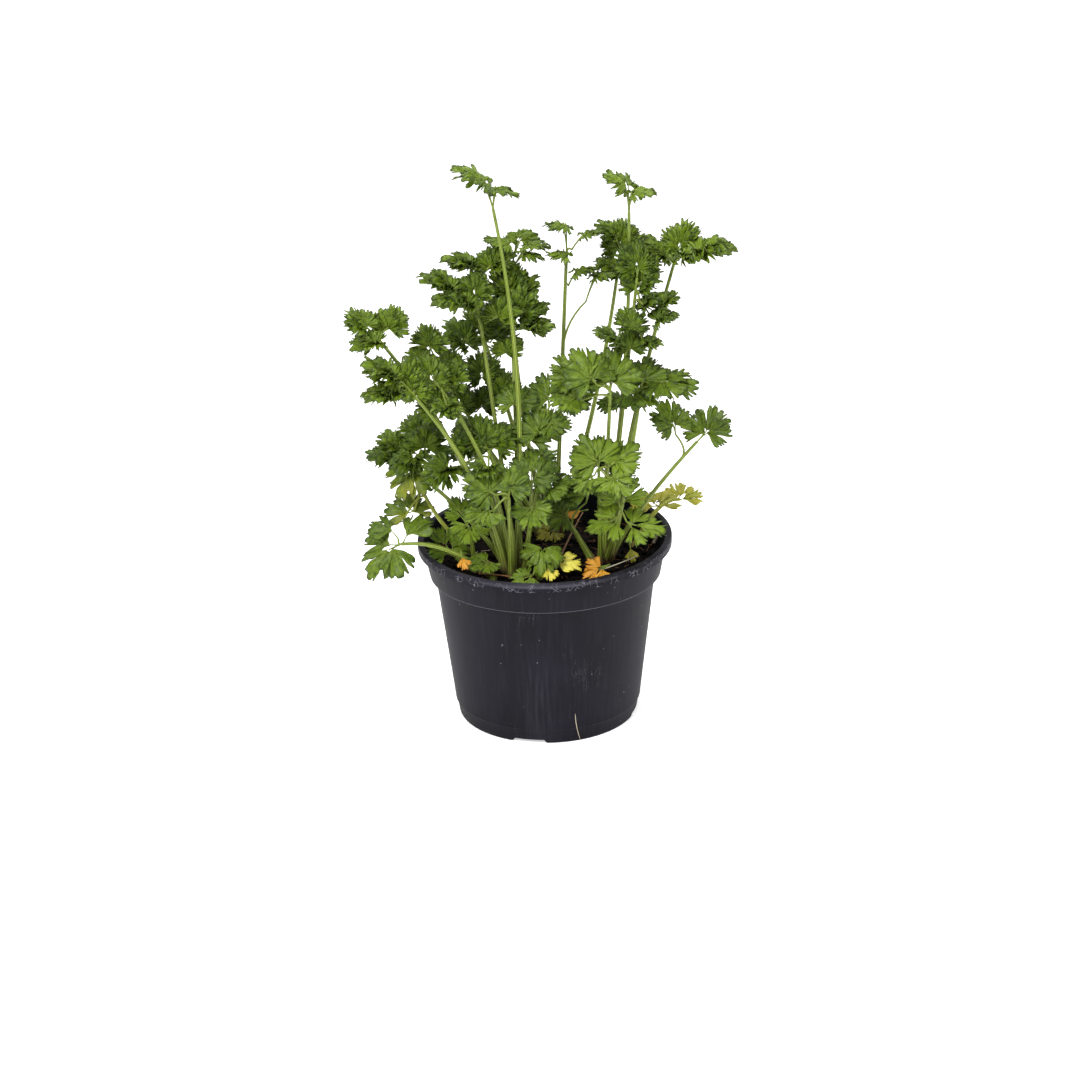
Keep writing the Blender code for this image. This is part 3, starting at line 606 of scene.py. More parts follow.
# A crown over turn a and height: radius = profile x (1 + 0.09 cos 5a + 0.05 cos 11a), ribs where
# the stalks sit, and the height waves by 0.3 mm x cos 7a at its widest.
def crownShell(x, y, seed):
    phase = np.random.default_rng(seed).uniform(0, 6.28, 3)
    angle = np.arange(40) * 2 * np.pi / 40
    profile = np.array(crowns["profile"]) * mm
    ribs = 1 + 0.09 * np.cos(5 * angle + phase[0]) + 0.05 * np.cos(11 * angle + phase[1])
    radius = profile[:, :1] * ribs
    height = profile[:, 1:] + 0.3 * mm * np.cos(7 * angle + phase[2]) * (profile[:, :1] / (8 * mm))
    points = np.stack([x * mm + radius * np.cos(angle), y * mm + radius * np.sin(angle), height], -1)
    caps = np.arange(40)
    faces = [gridFaces(len(profile), 40, True)[:, ::-1], caps[None, ::-1],
             caps[None] + 40 * (len(profile) - 1)]
    place = np.empty(points.shape)
    place[..., 0] = angle * 11 / 6.283
    place[..., 1] = np.linspace(0, 0.02, len(profile))[:, None]
    place[..., 2] = 0.05
    part = np.broadcast_to([0.0, 0.25, 0.0], (points.size // 3, 3))
    return {"points": points.reshape(-1, 3), "faces": faces, "place": place.reshape(-1, 3), "part": part}


# How a leaflet looks. lobes: teeth in each of its lobes. fan: half of its opening angle. tooth and
# cleft: how deep the notches between teeth and between lobes go. curl: height of the ruffle.
# droop: how far its margin falls. roll: how much leaflets are turned at random. rise: how steeply
# they stand. front: how far they turn to the light. spread: how wide a spray opens. layers: how
# many fans grow from one base. stem: how much further out its leaflets begin. fork: how far below
# its node the first spray divides, in millimetres.
leafLooks = {
    "curly": {"lobes": (6, 7, 6), "fan": 74, "tooth": 0.17, "cleft": 0.40, "curl": 0.12, "droop": 0.34,
              "roll": 20, "rise": 0.55, "front": 0.0, "spread": 1.0, "layers": 2},
    "crisp": {"lobes": (5, 6, 5), "fan": 72, "tooth": 0.17, "cleft": 0.46, "curl": 0.09, "droop": 0.24,
              "roll": 16, "rise": 0.35, "front": 0.25, "spread": 1.1, "layers": 2},
    "umbel": {"lobes": (5, 5, 5), "fan": 68, "tooth": 0.20, "cleft": 0.44, "curl": 0.08, "droop": 0.30,
              "roll": 12, "rise": 0.15, "front": 0.0, "spread": 1.0, "layers": 1, "stem": 0.06, "fork": 14},
    "broad": {"lobes": (4, 5, 4), "fan": 68, "tooth": 0.16, "cleft": 0.5, "curl": 0.06, "droop": 0.32,
              "roll": 12, "rise": 0.2, "front": 0.25, "spread": 1.0, "layers": 1},
    "open": {"lobes": (4, 5, 4), "fan": 62, "tooth": 0.15, "cleft": 0.52, "curl": 0.05, "droop": 0.14,
             "roll": 9, "rise": 0.12, "front": 0.55, "spread": 1.22, "layers": 1},
    "wedge": {"lobes": (3, 4, 3), "fan": 50, "tooth": 0.16, "cleft": 0.55, "curl": 0.04, "droop": 0.16,
              "roll": 12, "rise": 0.1, "front": 0.45, "spread": 1.15, "layers": 1, "stem": 0.08},
    "limp": {"lobes": (2, 3, 2), "fan": 54, "tooth": 0.14, "cleft": 0.50, "curl": 0.04, "droop": 0.20,
             "roll": 14, "rise": -0.05, "front": 0.7, "spread": 1.1, "layers": 1, "stem": 0.04},
}

# Leaflets of a spray: turn from the spray's heading, where it begins, and its length, as shares.
leafletSets = {
    1: ((0, 0.04, 1.0),),
    3: ((0, 0.10, 0.92), (58, 0.03, 0.84), (-58, 0.03, 0.84)),
    5: ((0, 0.24, 0.82), (40, 0.17, 0.76), (-40, 0.17, 0.76), (80, 0.03, 0.72), (-80, 0.03, 0.72)),
}

# Each leaf: its foot on the soil, how far its stalk bows, its look, its shade from 0 dark to 1
# light (partly the leaf's own tone, partly painted shade: leaves that lie in shade are painted darker),
# and its sprays. A spray is x, y, z of its node, heading, pitch, length, leaflets, and for a side spray
# where it leaves the stalk, from 0 to 1. age: how yellow the leaf is. thick: how many times thicker
# its stalk is.
leaves = {
    "01": {"foot": (-15.6, -26.2), "bow": (8, -2, 0), "look": "umbel", "shade": 0.6, "sprays": [
        (-24, 12, 274, 180, 30, 19, 3), (-21, 10, 271, 0, -10, 13, 3, 0.965)]},
    "02": {"foot": (1.4, 25.8), "bow": (-5, 10, 0), "look": "umbel", "shade": 0.6, "sprays": [
        (-14, 34, 239, 165, 18, 13, 3), (-10, 40, 239, 60, 25, 13, 3, 0.965),
        (-6, 33, 238, 0, 5, 13, 3, 0.94), (-8, 28, 235, 20, -10, 12, 3, 0.92)]},
    "03": {"foot": (-14, -22.6), "bow": (0, -4, 0), "look": "curly", "shade": 0.7, "sprays": [
        (-33, 26, 230, 180, 12, 15, 5), (-24, 28, 229, 60, 35, 14, 5, 0.955),
        (-43, 4, 224, 178, 24, 16, 5, 0.80), (-31, 8, 220, 110, 35, 14, 5, 0.84),
        (-35, -4, 218, 185, 5, 17, 5, 0.78), (-21, 10, 208, 70, 40, 13, 3, 0.81)]},
    "04": {"foot": (-12.4, -26.2), "bow": (0, -3, 0), "look": "curly", "shade": 0.62, "sprays": [
        (-14, 26, 215, 100, 64, 15, 5), (-10, 25, 212, 20, 45, 14, 5, 0.94),
        (-11, 14, 207, 60, 60, 15, 5, 0.90), (-6, 14, 201, -10, 0, 13, 3, 0.87),
        (-6, 18, 206, 20, 25, 12, 3, 0.92), (-17, 12, 189, 60, 45, 11, 3, 0.80)]},
    "05": {"foot": (-20.4, -29), "bow": (7, 2, 3), "look": "crisp", "shade": 0.7, "sprays": [
        (-84, -12, 210, 160, 36, 13, 3), (-74, -6, 207, 60, 46, 13, 3, 0.955),
        (-79, -16, 203, 188, -4, 13, 3, 0.93)]},
    "06": {"foot": (-2.5, 26.2), "bow": (2, 2, 0), "look": "curly", "shade": 0.5, "sprays": [
        (-31, 40, 195, 80, 55, 13, 5), (-38, 34, 189, 140, 45, 14, 5, 0.94),
        (-24, 46, 187, 90, 60, 13, 3, 0.91), (-21, 47, 180, 20, 15, 12, 3, 0.89),
        (-30, 30, 171, 100, 50, 14, 5, 0.82), (-20, 26, 164, 70, 45, 13, 3, 0.78)]},
    "07": {"foot": (-19.5, -32.2), "bow": (8, -1, 4), "look": "curly", "shade": 0.75, "sprays": [
        (-71, -26, 189, 175, 15, 16, 5), (-71, -31, 181, 190, -5, 16, 5, 0.95),
        (-66, -25, 184, 85, 45, 14, 3, 0.965), (-61, -27, 180, 100, 40, 12, 5, 0.90)]},
    "08": {"foot": (-17.2, -29), "bow": (7, -2, 3), "look": "crisp", "shade": 0.62, "sprays": [
        (-52, -17, 183, 125, 45, 15, 5), (-45, -13, 181, 60, 50, 13, 3, 0.94),
        (-46, -28, 174, -100, -20, 11, 3, 0.92), (-50, -22, 169, 95, 45, 14, 3, 0.85)]},
    "09": {"foot": (-19.5, -25.8), "bow": (5, -2, 2), "look": "curly", "shade": 0.6, "sprays": [
        (-75, 2, 138, 183, 8, 14, 5), (-72, 8, 141, 150, 25, 13, 5, 0.93),
        (-62, 13, 147, 100, 35, 14, 3, 0.86), (-65, -8, 142, -120, -30, 13, 3, 0.82),
        (-59, -4, 146, 80, 25, 14, 3, 0.80)]},
    "10": {"foot": (29.6, -6.2), "bow": (5, 7, 0), "look": "umbel", "shade": 0.6, "sprays": [
        (45, 24, 268, 145, 36, 14, 3), (45.5, 21, 265, 30, 6, 13, 5, 0.955)]},
    "11": {"foot": (6.2, 23), "bow": (0, 2, 0), "look": "umbel", "shade": 0.5, "sprays": [
        (15, 32, 247, 170, 15, 12, 3), (22, 30, 243, 5, 16, 11, 3, 0.95),
        (14, 24, 234, 175, 14, 11, 3, 0.86), (18, 24, 226, 0, 12, 12, 3, 0.80),
        (27, 23, 223, 5, 14, 11, 3, 0.60)]},
    "12": {"foot": (8.5, 26.2), "bow": (4, 4, 0), "look": "curly", "shade": 0.65, "sprays": [
        (42, 42, 235, 90, 50, 14, 5), (40, 42, 240, 145, 30, 12, 3, 0.975),
        (48, 46, 234, 20, 18, 12, 3, 0.96), (41, 36, 222, 168, 28, 14, 5, 0.92)]},
    "13": {"foot": (31.2, -9), "bow": (0, -2, 0), "look": "curly", "shade": 0.55, "sprays": [
        (49, 12, 230, 95, 55, 15, 5), (49, 10, 222, 60, 30, 14, 5, 0.955),
        (51, 4, 213, 10, 20, 12, 3, 0.92), (61, -1, 215, 20, 35, 9, 3, 0.90),
        (57, -3, 208, 0, 5, 11, 3, 0.88), (45, -8, 205, 110, 45, 11, 3, 0.87),
        (36, -13, 201, 165, 20, 11, 3, 0.85), (51, -8, 197, -10, 5, 9, 3, 0.83),
        (44, -4, 194, 80, 40, 11, 3, 0.80)]},
    "14": {"foot": (33.5, -5.8), "bow": (-3, 1, 0), "look": "curly", "shade": 0.75, "sprays": [
        (70, 24, 237, 70, 45, 15, 5), (79, 14, 239, 5, -4, 18, 5, 0.945),
        (63, 19, 234, 150, 25, 13, 5, 0.95), (70, 12, 236, -40, 0, 11, 3, 0.93)]},
    "15": {"foot": (29.6, -11.8), "bow": (0, 3, 0), "look": "open", "shade": 0.55, "sprays": [
        (34, -16, 180, 80, 50, 18, 3), (25, -20, 183, 140, 42, 18, 3, 0.92),
        (17, -22, 175, 185, -5, 14, 3, 0.89), (16, -14, 182, 140, 40, 15, 3, 0.94)]},
    "16": {"foot": (33.5, -12.2), "bow": (1, 2, 0), "look": "broad", "shade": 0.5, "sprays": [
        (50, -4, 177, 60, 45, 14, 3), (58, -5, 177, -8, 0, 18, 5, 0.93),
        (44, -8, 172, -30, -10, 15, 3, 0.92), (39, -6, 168, 170, -5, 12, 3, 0.88)]},
    "17": {"foot": (34.4, -9), "bow": (-5, 0, -2), "look": "open", "shade": 0.55, "sprays": [
        (83, 12, 144, 60, 40, 16, 3), (67, 10, 149, 130, 45, 14, 3, 0.80)]},
    "18": {"foot": (-17.2, -23.5), "bow": (3, -1, 0), "look": "crisp", "shade": 0.65, "sprays": [
        (-55, 5, 195, 95, 50, 12, 3), (-58, -1, 188, 165, 32, 11, 3, 0.93),
        (-47, 8, 182, 60, 45, 12, 3, 0.92)]},
    "19": {"foot": (-10.8, -23.5), "bow": (0, -3, 0), "look": "open", "shade": 0.45, "sprays": [
        (4, -3, 168, 105, 50, 15, 3), (13, 0, 168, 15, 20, 15, 3, 0.94),
        (4, -11, 158, -10, -5, 12, 3, 0.86), (-1, -13, 154, 100, 55, 16, 3, 0.84),
        (-13, -6, 167, 85, 45, 13, 3, 0.90), (-6, -11, 149, 85, 45, 14, 3, 0.78)]},
    "20": {"foot": (-3.4, 23), "bow": (0, -2, 0), "look": "crisp", "shade": 0.45, "sprays": [
        (-41, 20, 160, 130, 40, 14, 5), (-31, 25, 157, 60, 45, 13, 3, 0.90),
        (-36, 10, 149, -90, -20, 11, 3, 0.85)]},
    "21": {"foot": (-15.6, -31.8), "bow": (4, -2, 0), "look": "crisp", "shade": 0.5, "sprays": [
        (-29, -17, 152, 120, 50, 14, 3), (-23, -17, 149, 60, 40, 13, 3, 0.92),
        (-27, -30, 143, -110, -15, 11, 3, 0.88), (-36, -20, 150, 110, 45, 13, 3, 0.93),
        (-47, -24, 141, -140, -25, 15, 3, 0.84)]},
    "22": {"foot": (-27, -20), "bow": (-4, 4, -6), "look": "limp", "shade": 0.5, "age": 0.34, "sprays": [
        (-65, -11, 136, -140, -45, 17, 3), (-67, -10, 112, 110, 45, 15, 3, 0.80),
        (-74, -12, 108, 178, -10, 14, 1, 0.76)]},
    "23": {"foot": (-27, -33), "bow": (0, 0, 7), "look": "limp", "shade": 0.42, "sprays": [
        (-75, -34, 104, 205, -35, 20, 3), (-69, -32, 107, 35, 40, 17, 1, 0.90),
        (-74, -32, 110, 165, 30, 14, 1, 0.95)]},
    "24": {"foot": (-17.2, -34.5), "bow": (0, -2, 0), "look": "open", "shade": 0.5, "sprays": [
        (-17, -38, 134, 60, 40, 14, 3), (-26, -42, 134, 155, 30, 16, 3, 0.92),
        (-27, -50, 127, 205, -15, 14, 3, 0.86)]},
    "25": {"foot": (-10.8, -29), "bow": (1, -1, 0), "look": "open", "shade": 0.5, "sprays": [
        (-6, -25, 134, 80, 45, 16, 5), (2, -25, 130, 10, 15, 14, 3, 0.90),
        (-6, -37, 123, -75, -25, 13, 3, 0.84)]},
    "26": {"foot": (28, -15.4), "bow": (0, -3, 0), "look": "open", "shade": 0.7, "sprays": [
        (27, -30, 144, 130, 45, 17, 3), (35, -28, 143, 30, 25, 16, 3, 0.90),
        (23, -36, 138, -140, -25, 12, 3, 0.92), (33, -38, 138, -40, -25, 14, 3, 0.90)]},
    "27": {"foot": (23, -15), "bow": (0, 0, 0), "look": "open", "shade": 0.45, "thick": 1.2, "sprays": [
        (10, -13, 111, 165, 20, 15, 3), (15, -17, 123, 150, 25, 13, 3, 0.84),
        (22, -20, 124, 105, 20, 13, 3, 0.62)]},
    "28": {"foot": (31.2, -14.5), "bow": (0, -4, 0), "look": "wedge", "shade": 1.0, "sprays": [
        (38, -35, 124, 90, 50, 16, 3), (35, -40, 117, 190, -10, 15, 3, 0.88),
        (42, -40, 114, -5, -5, 17, 3, 0.86)]},
    "29": {"foot": (47, 9), "bow": (0, 0, 7), "look": "wedge", "shade": 0.9, "age": 0.58, "sprays": [
        (71, 24, 104, 80, 20, 15, 3), (58, 17, 103, 100, 15, 16, 3, 0.60)]},
    "30": {"foot": (-38, -21), "bow": (0, 0, 0), "look": "wedge", "shade": 0.55, "sprays": [
        (-48, -24, 96, 120, 40, 14, 5)]},
    "31": {"foot": (-35, -24), "bow": (0, 0, 0), "look": "wedge", "shade": 0.9, "sprays": [
        (-37, -30, 113, -95, -30, 13, 3), (-40, -24, 115, 115, 40, 12, 3, 0.85)]},
    "32": {"foot": (-26, -37), "bow": (0, 0, 0), "look": "wedge", "shade": 0.6, "sprays": [
        (-28, -37, 96, -140, -5, 11, 5)]},
    "33": {"foot": (-3, -37), "bow": (0, 0, 0), "look": "limp", "shade": 0.7, "sprays": [
        (-1, -38, 103, -95, -40, 14, 3), (-8, -49, 92, -150, -6, 10, 5, 0.45)]},
    "34": {"foot": (-0.2, 28.5), "bow": (0, 3, 0), "look": "crisp", "shade": 0.3, "sprays": [
        (-34, 48, 135, 125, 20, 15, 5), (-26, 52, 132, 60, 15, 13, 3, 0.88),
        (-40, 44, 128, 185, -5, 13, 3, 0.86)]},
    "35": {"foot": (6.2, 28.5), "bow": (0, 3, 0), "look": "crisp", "shade": 0.3, "sprays": [
        (30, 49, 119, 55, 20, 15, 5), (24, 52, 116, 120, 10, 12, 3, 0.88),
        (36, 43, 114, 0, 0, 12, 3, 0.86)]},
    "36": {"foot": (3, 29.4), "bow": (0, 3, 0), "look": "open", "shade": 0.4, "sprays": [
        (-2, 49, 120, 95, 5, 14, 5)]},
}

leafSizes = {
    "stalkRadius": 1.35, "tipShare": 0.55, "footSwell": 0.45, "branchRadius": 0.5,
    "stemletRadius": 0.36, "forkLength": 5.0, "thickness": 0.26, "marginThickness": 0.12,
    "sunk": 2.5,
}


# A leaflet over tooth number u and reach s, from its base to its margin. With n teeth in a fan of
# half angle f: angle = (2u/n - 1) f, narrower near the base; radius = s x margin(u), where the
# margin is shorter at the sides, notched between teeth and cleft between lobes; and height =
# curl (s^2.2 x waves in u + s x a bow for each lobe) - droop x radius^2 + a fine ripple.
# Two such sheets, a thickness apart, and a rim that joins them.
def leafletShell(look, size, tint, age, rng):
    teeth = sum(look["lobes"])
    steps = np.array([0.0, 0.3, 0.7] if look["layers"] > 1 else [0.0, 0.2, 0.5, 0.8])
    u = np.append((np.arange(teeth)[:, None] + steps).ravel(), teeth)
    s = np.array([0.05, 0.32, 0.6, 0.84, 1.0])
    clefts = np.cumsum(look["lobes"])[:-1]
    notch = 1 - np.abs(np.sin(np.pi * u)) ** 0.42
    deep = np.exp(-((u[:, None] - clefts) / 0.25) ** 2).max(1)
    long = rng.uniform(0.92, 1.05, teeth + 1)[np.minimum(u, teeth - 0.01).astype(int)]
    margin = (1 - 0.26 * (2 * u / teeth - 1) ** 2) * long
    margin = margin * (1 - look["tooth"] * notch) * (1 - look["cleft"] * deep)
    angle = (2 * u / teeth - 1) * math.radians(look["fan"])
    angle = angle + 0.05 * np.sin(rng.uniform(0, 6.28) + u * 2.1)
    narrow = 0.7 + 0.3 * smooth(0.0, 0.6, s)
    turn = narrow[:, None] * angle
    radius = s[:, None] * margin
    waves = np.sin(np.pi * u + rng.uniform(0, 6.28))
    waves = waves + 0.8 * np.sin(2 * np.pi * u * 0.23 + rng.uniform(0, 6.28))
    lobeBow = 0.5 * np.cos(2 * np.pi * u / teeth * 3 - np.pi)
    lift = look["curl"] * (s[:, None] ** 2.2 * waves + 0.5 * s[:, None] * lobeBow)
    height = lift - look["droop"] * radius**2 + 0.05 * np.sin(9 * radius + u[None] * 0.8)
    sheet = np.stack([radius * np.cos(turn), radius * np.sin(turn), height], -1) * size
    normal = unit(np.cross(np.gradient(sheet, axis=0), np.gradient(sheet, axis=1)))
    thin = np.linspace(1, leafSizes["marginThickness"] / leafSizes["thickness"], len(s))
    half = normal * (thin * leafSizes["thickness"] / 2 * mm)[:, None, None]
    rows, columns = len(s), len(u)
    top = gridFaces(rows, columns)
    count = rows * columns
    grid = np.arange(count).reshape(rows, columns)
    loop = np.concatenate([grid[-1], grid[-2::-1, -1], grid[0, -2::-1], grid[1:-1, 0]])
    after = np.roll(loop, -1)
    rim = np.stack([loop + count, after + count, after, loop], -1)
    place = np.empty((rows, columns, 3))
    place[..., 0], place[..., 1], place[..., 2] = u[None], s[:, None], tint
    part = np.zeros((2 * count, 3))
    part[count:, 0] = 1
    part[:, 2] = age
    return {
        "points": np.concatenate([(sheet + half).reshape(-1, 3), (sheet - half).reshape(-1, 3)]),
        "faces": [top, top[:, ::-1] + count, rim],
        "place": np.concatenate([place.reshape(-1, 3)] * 2), "part": part,
    }


# A leaflet's points carried to its base: base + x ahead + y left + z up.
def setDown(shape, base, ahead, up):
    left = np.cross(up, ahead)
    shape["points"] = base + shape["points"] @ np.stack([ahead, left, up])
    return shape


# A spray: from its fork, a stemlet curves to the base of each leaflet.
def sprayShapes(spray, fork, arrive, leaf, rng):
    look, node = leafLooks[leaf["look"]], np.array(spray[:3]) * mm
    heading, pitch, length = spray[3], spray[4], spray[5] * mm
    ahead = aimed(heading, pitch)
    up = np.cross(ahead, aimed(heading + 90)) - np.array([0, look["front"], 0])
    up = unit(up - ahead * (up @ ahead))
    made = []
    for turn, begin, size in leafletSets[spray[6]]:
        begin, size = begin + look.get("stem", 0), size * (1 - look.get("stem", 0))
        way = unit(turnedAbout(ahead, up, turn * look["spread"] + rng.uniform(-7, 7)))
        way = unit(way + up * look["rise"])
        base = node + way * begin * length - up * 0.3 * look["rise"] * length
        tilt = rng.uniform(-0.5, 1) * look["roll"] * 0.5 - abs(turn) / 66 * 6
        side = np.cross(up, way)
        way = unit(turnedAbout(way, side, tilt))
        over = unit(np.cross(way, side))
        over = turnedAbout(over, way, rng.uniform(-1, 1) * look["roll"])
        size = size * length * rng.uniform(0.94, 1.08)
        for layer in range(look["layers"]):
            # A leaflet's tint: the leaf's shade, partly its own tone and partly painted shade, varied at
            # random.
            tint = np.clip(leaf["shade"] + rng.uniform(-0.16, 0.16), 0, 1)
            shape = leafletShell(look, size * 0.78**layer, tint, leaf.get("age", 0), rng)
            made.append(setDown(shape, base, way, over))
            lean = rng.uniform(22, 38)
            way, over = turnedAbout(way, side, -lean), turnedAbout(over, side, -lean)
        reach = np.linalg.norm(base - fork)
        path = bend(fork, fork + arrive * 0.45 * reach, base + way * 0.4 * mm, 6)
        thin = leafSizes["stemletRadius"] * mm * np.linspace(1.25, 0.8, 6)
        made.append(bar(path, thin, 6, tint=tint, age=leaf.get("age", 0), along=(0.7, 1.0)))
    return made


# A stalk from its foot to its first spray: a straight run plus bow x 4t(1-t).
def stalkPoints(leaf, footHeight, t):
    foot = np.array([*leaf["foot"], footHeight / mm]) * mm
    tip, bow = np.array(leaf["sprays"][0][:3]) * mm, np.array(leaf["bow"]) * mm
    t = np.asarray(t)[:, None]
    return foot + (tip - foot) * t + bow * 4 * t * (1 - t)


# Everything above the lowest branch, and the stalk's share of the way where that begins.
def bladeShapes(leaf, footHeight, rng):
    first, *others = leaf["sprays"]
    fork = leafLooks[leaf["look"]].get("fork", leafSizes["forkLength"]) * mm
    near = stalkPoints(leaf, footHeight, [0.0, 0.98, 1.0])
    length = np.linalg.norm(near[2] - near[0])
    end = 1 - fork / length
    start = min([spray[7] for spray in others] + [end]) - 2.5 * mm / length
    made = [stalkPart(leaf, footHeight, start, end, 10)]
    top = stalkPoints(leaf, footHeight, [end])[0]
    made += sprayShapes(first, top, unit(near[2] - near[1]), leaf, rng)
    for spray in others:
        leaving = min(spray[7], end)
        leave, onward = stalkPoints(leaf, footHeight, [leaving, leaving + 0.01])
        node = np.array(spray[:3]) * mm
        reach = np.linalg.norm(node - leave)
        arrive = unit(unit(node - leave) + np.array([0, 0, 0.35]))
        share = max(0.35, 1 - 0.7 * fork / reach)
        stop = leave + (node - leave) * share - np.array([0, 0, 0.08 * reach])
        path = bend(leave, leave + unit(onward - leave) * 0.35 * reach, stop, 8)
        thin = leafSizes["branchRadius"] * mm * np.linspace(1.25, 0.9, 8)
        made.append(bar(path, thin, 8, 4, 0.06, leaf["shade"], leaf.get("age", 0), (0.6, 0.9)))
        made += sprayShapes(spray, stop, arrive, leaf, rng)
    return made, start


# The stretch of a stalk from start to end, ribbed. With t the share of the way up: radius =
# stalkRadius (1 - (1 - tipShare) t + footSwell e^(-16 t)).
def stalkPart(leaf, footHeight, start, end, rings):
    t = np.linspace(start, end, rings)
    share = np.clip(t, 0, 1)
    taper = 1 - (1 - leafSizes["tipShare"]) * share + leafSizes["footSwell"] * np.exp(-share * 16)
    radius = leafSizes["stalkRadius"] * leaf.get("thick", 1) * mm * taper
    path = stalkPoints(leaf, footHeight, t)
    return bar(path, radius, 18, 6, 0.07, leaf["shade"], leaf.get("age", 0), (start, end))


# Leaf green from dark to light by the leaflet's own tint (which carries the leaf's painted shade) and
# a mottle, with fine specks of painted highlight, paler veins that fan out to the teeth, a yellower
# base, teeth tips painted darker as shade, and a greyer underside. Stalks are yellow-green, with
# painted shade in the grooves between their ribs and on their upper parts, and a pale foot. Aged
# leaves turn yellow, then orange.
def leafMaterial(name, colours, translucent):
    paint, tree, shader, where = newMaterial(name)
    place = addNode(tree, "Attribute", {}, attribute_name="place").outputs["Vector"]
    part = addNode(tree, "Attribute", {}, attribute_name="part").outputs["Vector"]
    u, s, tint = addNode(tree, "SeparateXYZ", {"Vector": place}).outputs
    under, stalk, age = addNode(tree, "SeparateXYZ", {"Vector": part}).outputs
    mottle = noise(tree, where, 330.0, 3.0, 0.6)
    # Fine noise: it bumps the surface, and in the colour it paints specks of highlight on the ruffles.
    crinkleAndHighlights = noise(tree, where, 1100.0, 2.0, 0.5)
    broad = noise(tree, where, 60.0, 2.0)
    tone = sway(tree, times(tree, tint, 0.75), mottle, 0.40, 1.1)
    tone = sway(tree, tone, crinkleAndHighlights, 0.5, 0.9)
    tone = sway(tree, tone, broad, 0.5, 0.5)
    green = blendColour(tree, ramp(tree, tone, -0.05, 1.05), colours["dark"], colours["light"])
    green = blendColour(tree, times(tree, ramp(tree, s, 0.45, 0.05), 0.55), green, colours["vein"])
    rib = apart(tree, calc(tree, "FRACT", u), 0.5)
    vein = times(tree, ramp(tree, rib, 0.15, 0.02), ramp(tree, s, 0.97, 0.45))
    green = blendColour(tree, times(tree, vein, 0.4), green, colours["vein"])
    # Painted shade: the teeth tips darker along the margin.
    green = blendColour(tree, times(tree, ramp(tree, s, 0.88, 1.0), 0.75), green, colours["tip"])
    green = blendColour(tree, times(tree, under, 0.6), green, colours["under"])
    yellowing = ramp(tree, sway(tree, age, broad, 0.5, 0.8), 0.25, 0.75)
    green = blendColour(tree, yellowing, green, colours["aged"])
    # Painted shade: the stalk is darker in the grooves between its ribs.
    stem = blendColour(tree, ramp(tree, rib, 0.1, 0.5), colours["stalkDark"], colours["stalk"])
    # Painted shade: stalks darker towards their tops, on branches and on stemlets.
    stem = blendColour(tree, times(tree, ramp(tree, s, 0.4, 1.0), 0.55), stem, colours["stalkTopPaintedShade"])
    stem = blendColour(tree, ramp(tree, s, 0.09, 0.0), stem, colours["foot"])
    blotch = times(tree, ramp(tree, mottle, 0.35, 0.7), 0.25)
    stem = blendColour(tree, blotch, stem, colours["stalkDark"])
    stem = blendColour(tree, times(tree, age, 0.6), stem, colours["aged"])
    colour = blendColour(tree, stalk, green, stem)
    tree.links.new(colour, shader.inputs["Base Color"])
    rough = addNode(tree, "MapRange", {"Value": under, "To Min": 0.36, "To Max": 0.62}).outputs["Result"]
    tree.links.new(rough, shader.inputs["Roughness"])
    shader.inputs["Specular IOR Level"].default_value = 0.3
    height = calc(tree, "ADD", times(tree, crinkleAndHighlights, 0.9), times(tree, vein, -0.5))
    bump = addNode(tree, "Bump", {"Height": height, "Strength": 0.5, "Distance": 0.5 * mm})
    tree.links.new(bump.outputs[0], shader.inputs["Normal"])
    glow = addNode(tree, "BsdfTranslucent", {"Color": blendColour(tree, 0.5, colour, colours["glow"])})
    thin = times(tree, calc(tree, "SUBTRACT", 1.0, stalk), translucent)
    mixed = addNode(tree, "MixShader", {0: thin, 1: shader.outputs[0], 2: glow.outputs[0]})
    tree.links.new(mixed.outputs[0], tree.nodes["Material Output"].inputs["Surface"])
    return paint


# The tip colour is painted shade along the leaflets' margins, and the stalk top colour is painted shade on
# upper stalks, branches and stemlets.
greens = {
    "dark": (0.026, 0.062, 0.006), "light": (0.21, 0.31, 0.018), "vein": (0.27, 0.37, 0.05),
    "tip": (0.026, 0.045, 0.010), "under": (0.12, 0.16, 0.03), "aged": (0.52, 0.46, 0.05),
    "stalk": (0.30, 0.36, 0.055), "stalkDark": (0.12, 0.17, 0.02), "stalkTopPaintedShade": (0.14, 0.20, 0.03),
    "foot": (0.15, 0.11, 0.045), "glow": (0.24, 0.38, 0.02),
}


# Leaves 01 to 17 are a stalk and a blade each, as in the CAD, and the others are one piece.
def makeLeaves():
    paint = leafMaterial("parsleyGreen", greens, 0.28)
    for index, (number, leaf) in enumerate(leaves.items()):
        rng = np.random.default_rng(100 + index)
        whole = int(number) > 17
        node = "leaf_" + number if whole else "leaf_stalk_" + number
        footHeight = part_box(node)[0][2]
        shapes, start = bladeShapes(leaf, footHeight, rng)
        length = np.linalg.norm(np.diff(stalkPoints(leaf, footHeight, [0.0, 1.0]), axis=0))
        below = stalkPart(leaf, footHeight, -leafSizes["sunk"] * mm / length, start, 22)
        if whole:
            makePiece("leaf" + number, shapes + [below], paint, [node])
        else:
            makePiece("stalk" + number, [below], paint, [node])
            makePiece("blade" + number, shapes, paint, ["leaf_blade_" + number])


def makeCrowns(paint):
    for index, (side, place) in enumerate(crowns["places"].items()):
        makePiece(side + "Crown", [crownShell(*place, 40 + index)], paint, ["root_crown_" + side])


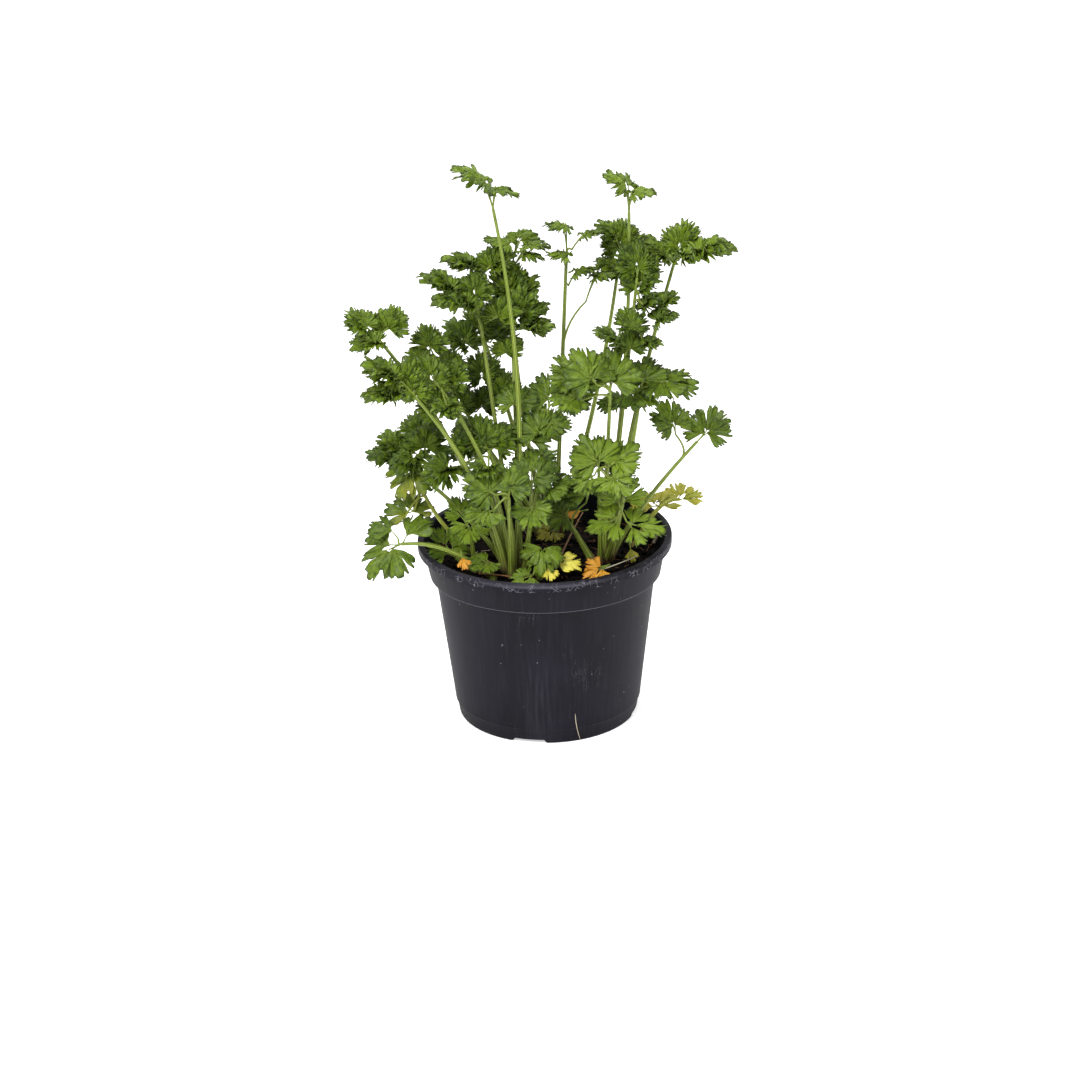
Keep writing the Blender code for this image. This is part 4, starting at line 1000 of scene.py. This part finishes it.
# Leaflets on the soil: place, heading, pitch, length and number of leaflets. bits: single loose
# leaflets of the same colour, as x, y, z, heading, pitch and length. The olive ones have no CAD node.
shedLeaflets = {
    "yellow": {"place": (3, -37, 95), "heading": -4, "pitch": 2, "length": 14, "leaflets": 1,
               "bits": [(0.5, -42.5, 94.5, -60, -25, 9)],
               "dark": (0.60, 0.52, 0.04), "light": (0.88, 0.82, 0.16), "aged": (0.8, 0.6, 0.05)},
    "orange": {"place": (28, -42, 93), "heading": 195, "pitch": -18, "length": 10.5, "leaflets": 3,
               "bits": [(-41, -37, 99, -75, -40, 8), (20, 13, 103, 190, -5, 9)],
               "dark": (0.58, 0.22, 0.02), "light": (0.88, 0.48, 0.06), "aged": (0.8, 0.5, 0.06)},
    "olive": {"place": (4, -3, 98.5), "heading": 215, "pitch": -12, "length": 10, "leaflets": 3,
              "bits": [(42.5, -24, 96.5, -75, -62, 7)],
              "dark": (0.22, 0.23, 0.02), "light": (0.50, 0.46, 0.05), "aged": (0.45, 0.33, 0.04)},
}


def makeShedLeaflets():
    for index, (name, shed) in enumerate(shedLeaflets.items()):
        rng = np.random.default_rng(70 + index)
        dark, light = shed["dark"], shed["light"]
        # As on the leaves, the tip colour paints shade along the margins.
        colours = {**greens, "dark": dark, "light": light, "aged": shed["aged"], "vein": light,
                   "tip": dark, "under": light, "glow": light}
        paint = leafMaterial(name + "Leaf", colours, 0.2)
        leaf = {"look": "wedge", "shade": 0.6, "age": 0.0}
        spray = (*shed["place"], shed["heading"], shed["pitch"], shed["length"], shed["leaflets"])
        node = np.array(shed["place"]) * mm
        back = aimed(shed["heading"], shed["pitch"])
        shapes = sprayShapes(spray, node - back * 4 * mm, back, leaf, rng)
        loose = name == "olive"
        makePiece(name + "Leaflet", shapes, paint, [] if loose else ["shed_leaflet_" + name])
        for number, bit in enumerate(shed["bits"]):
            root = np.array(bit[:3]) * mm - aimed(*bit[3:5]) * 3 * mm
            shapes = sprayShapes((*bit, 1), root, aimed(*bit[3:5]), leaf, rng)
            makePiece(name + "Bit%d" % number, shapes, paint, [])


print("camera and studio")
makeCamera()
makeStudio()
print("pot")
makePot()
print("soil")
peatPaint = makeSoil()
print("leaves")
makeLeaves()
print("root crowns")
makeCrowns(peatPaint)
print("shed leaflets")
makeShedLeaflets()
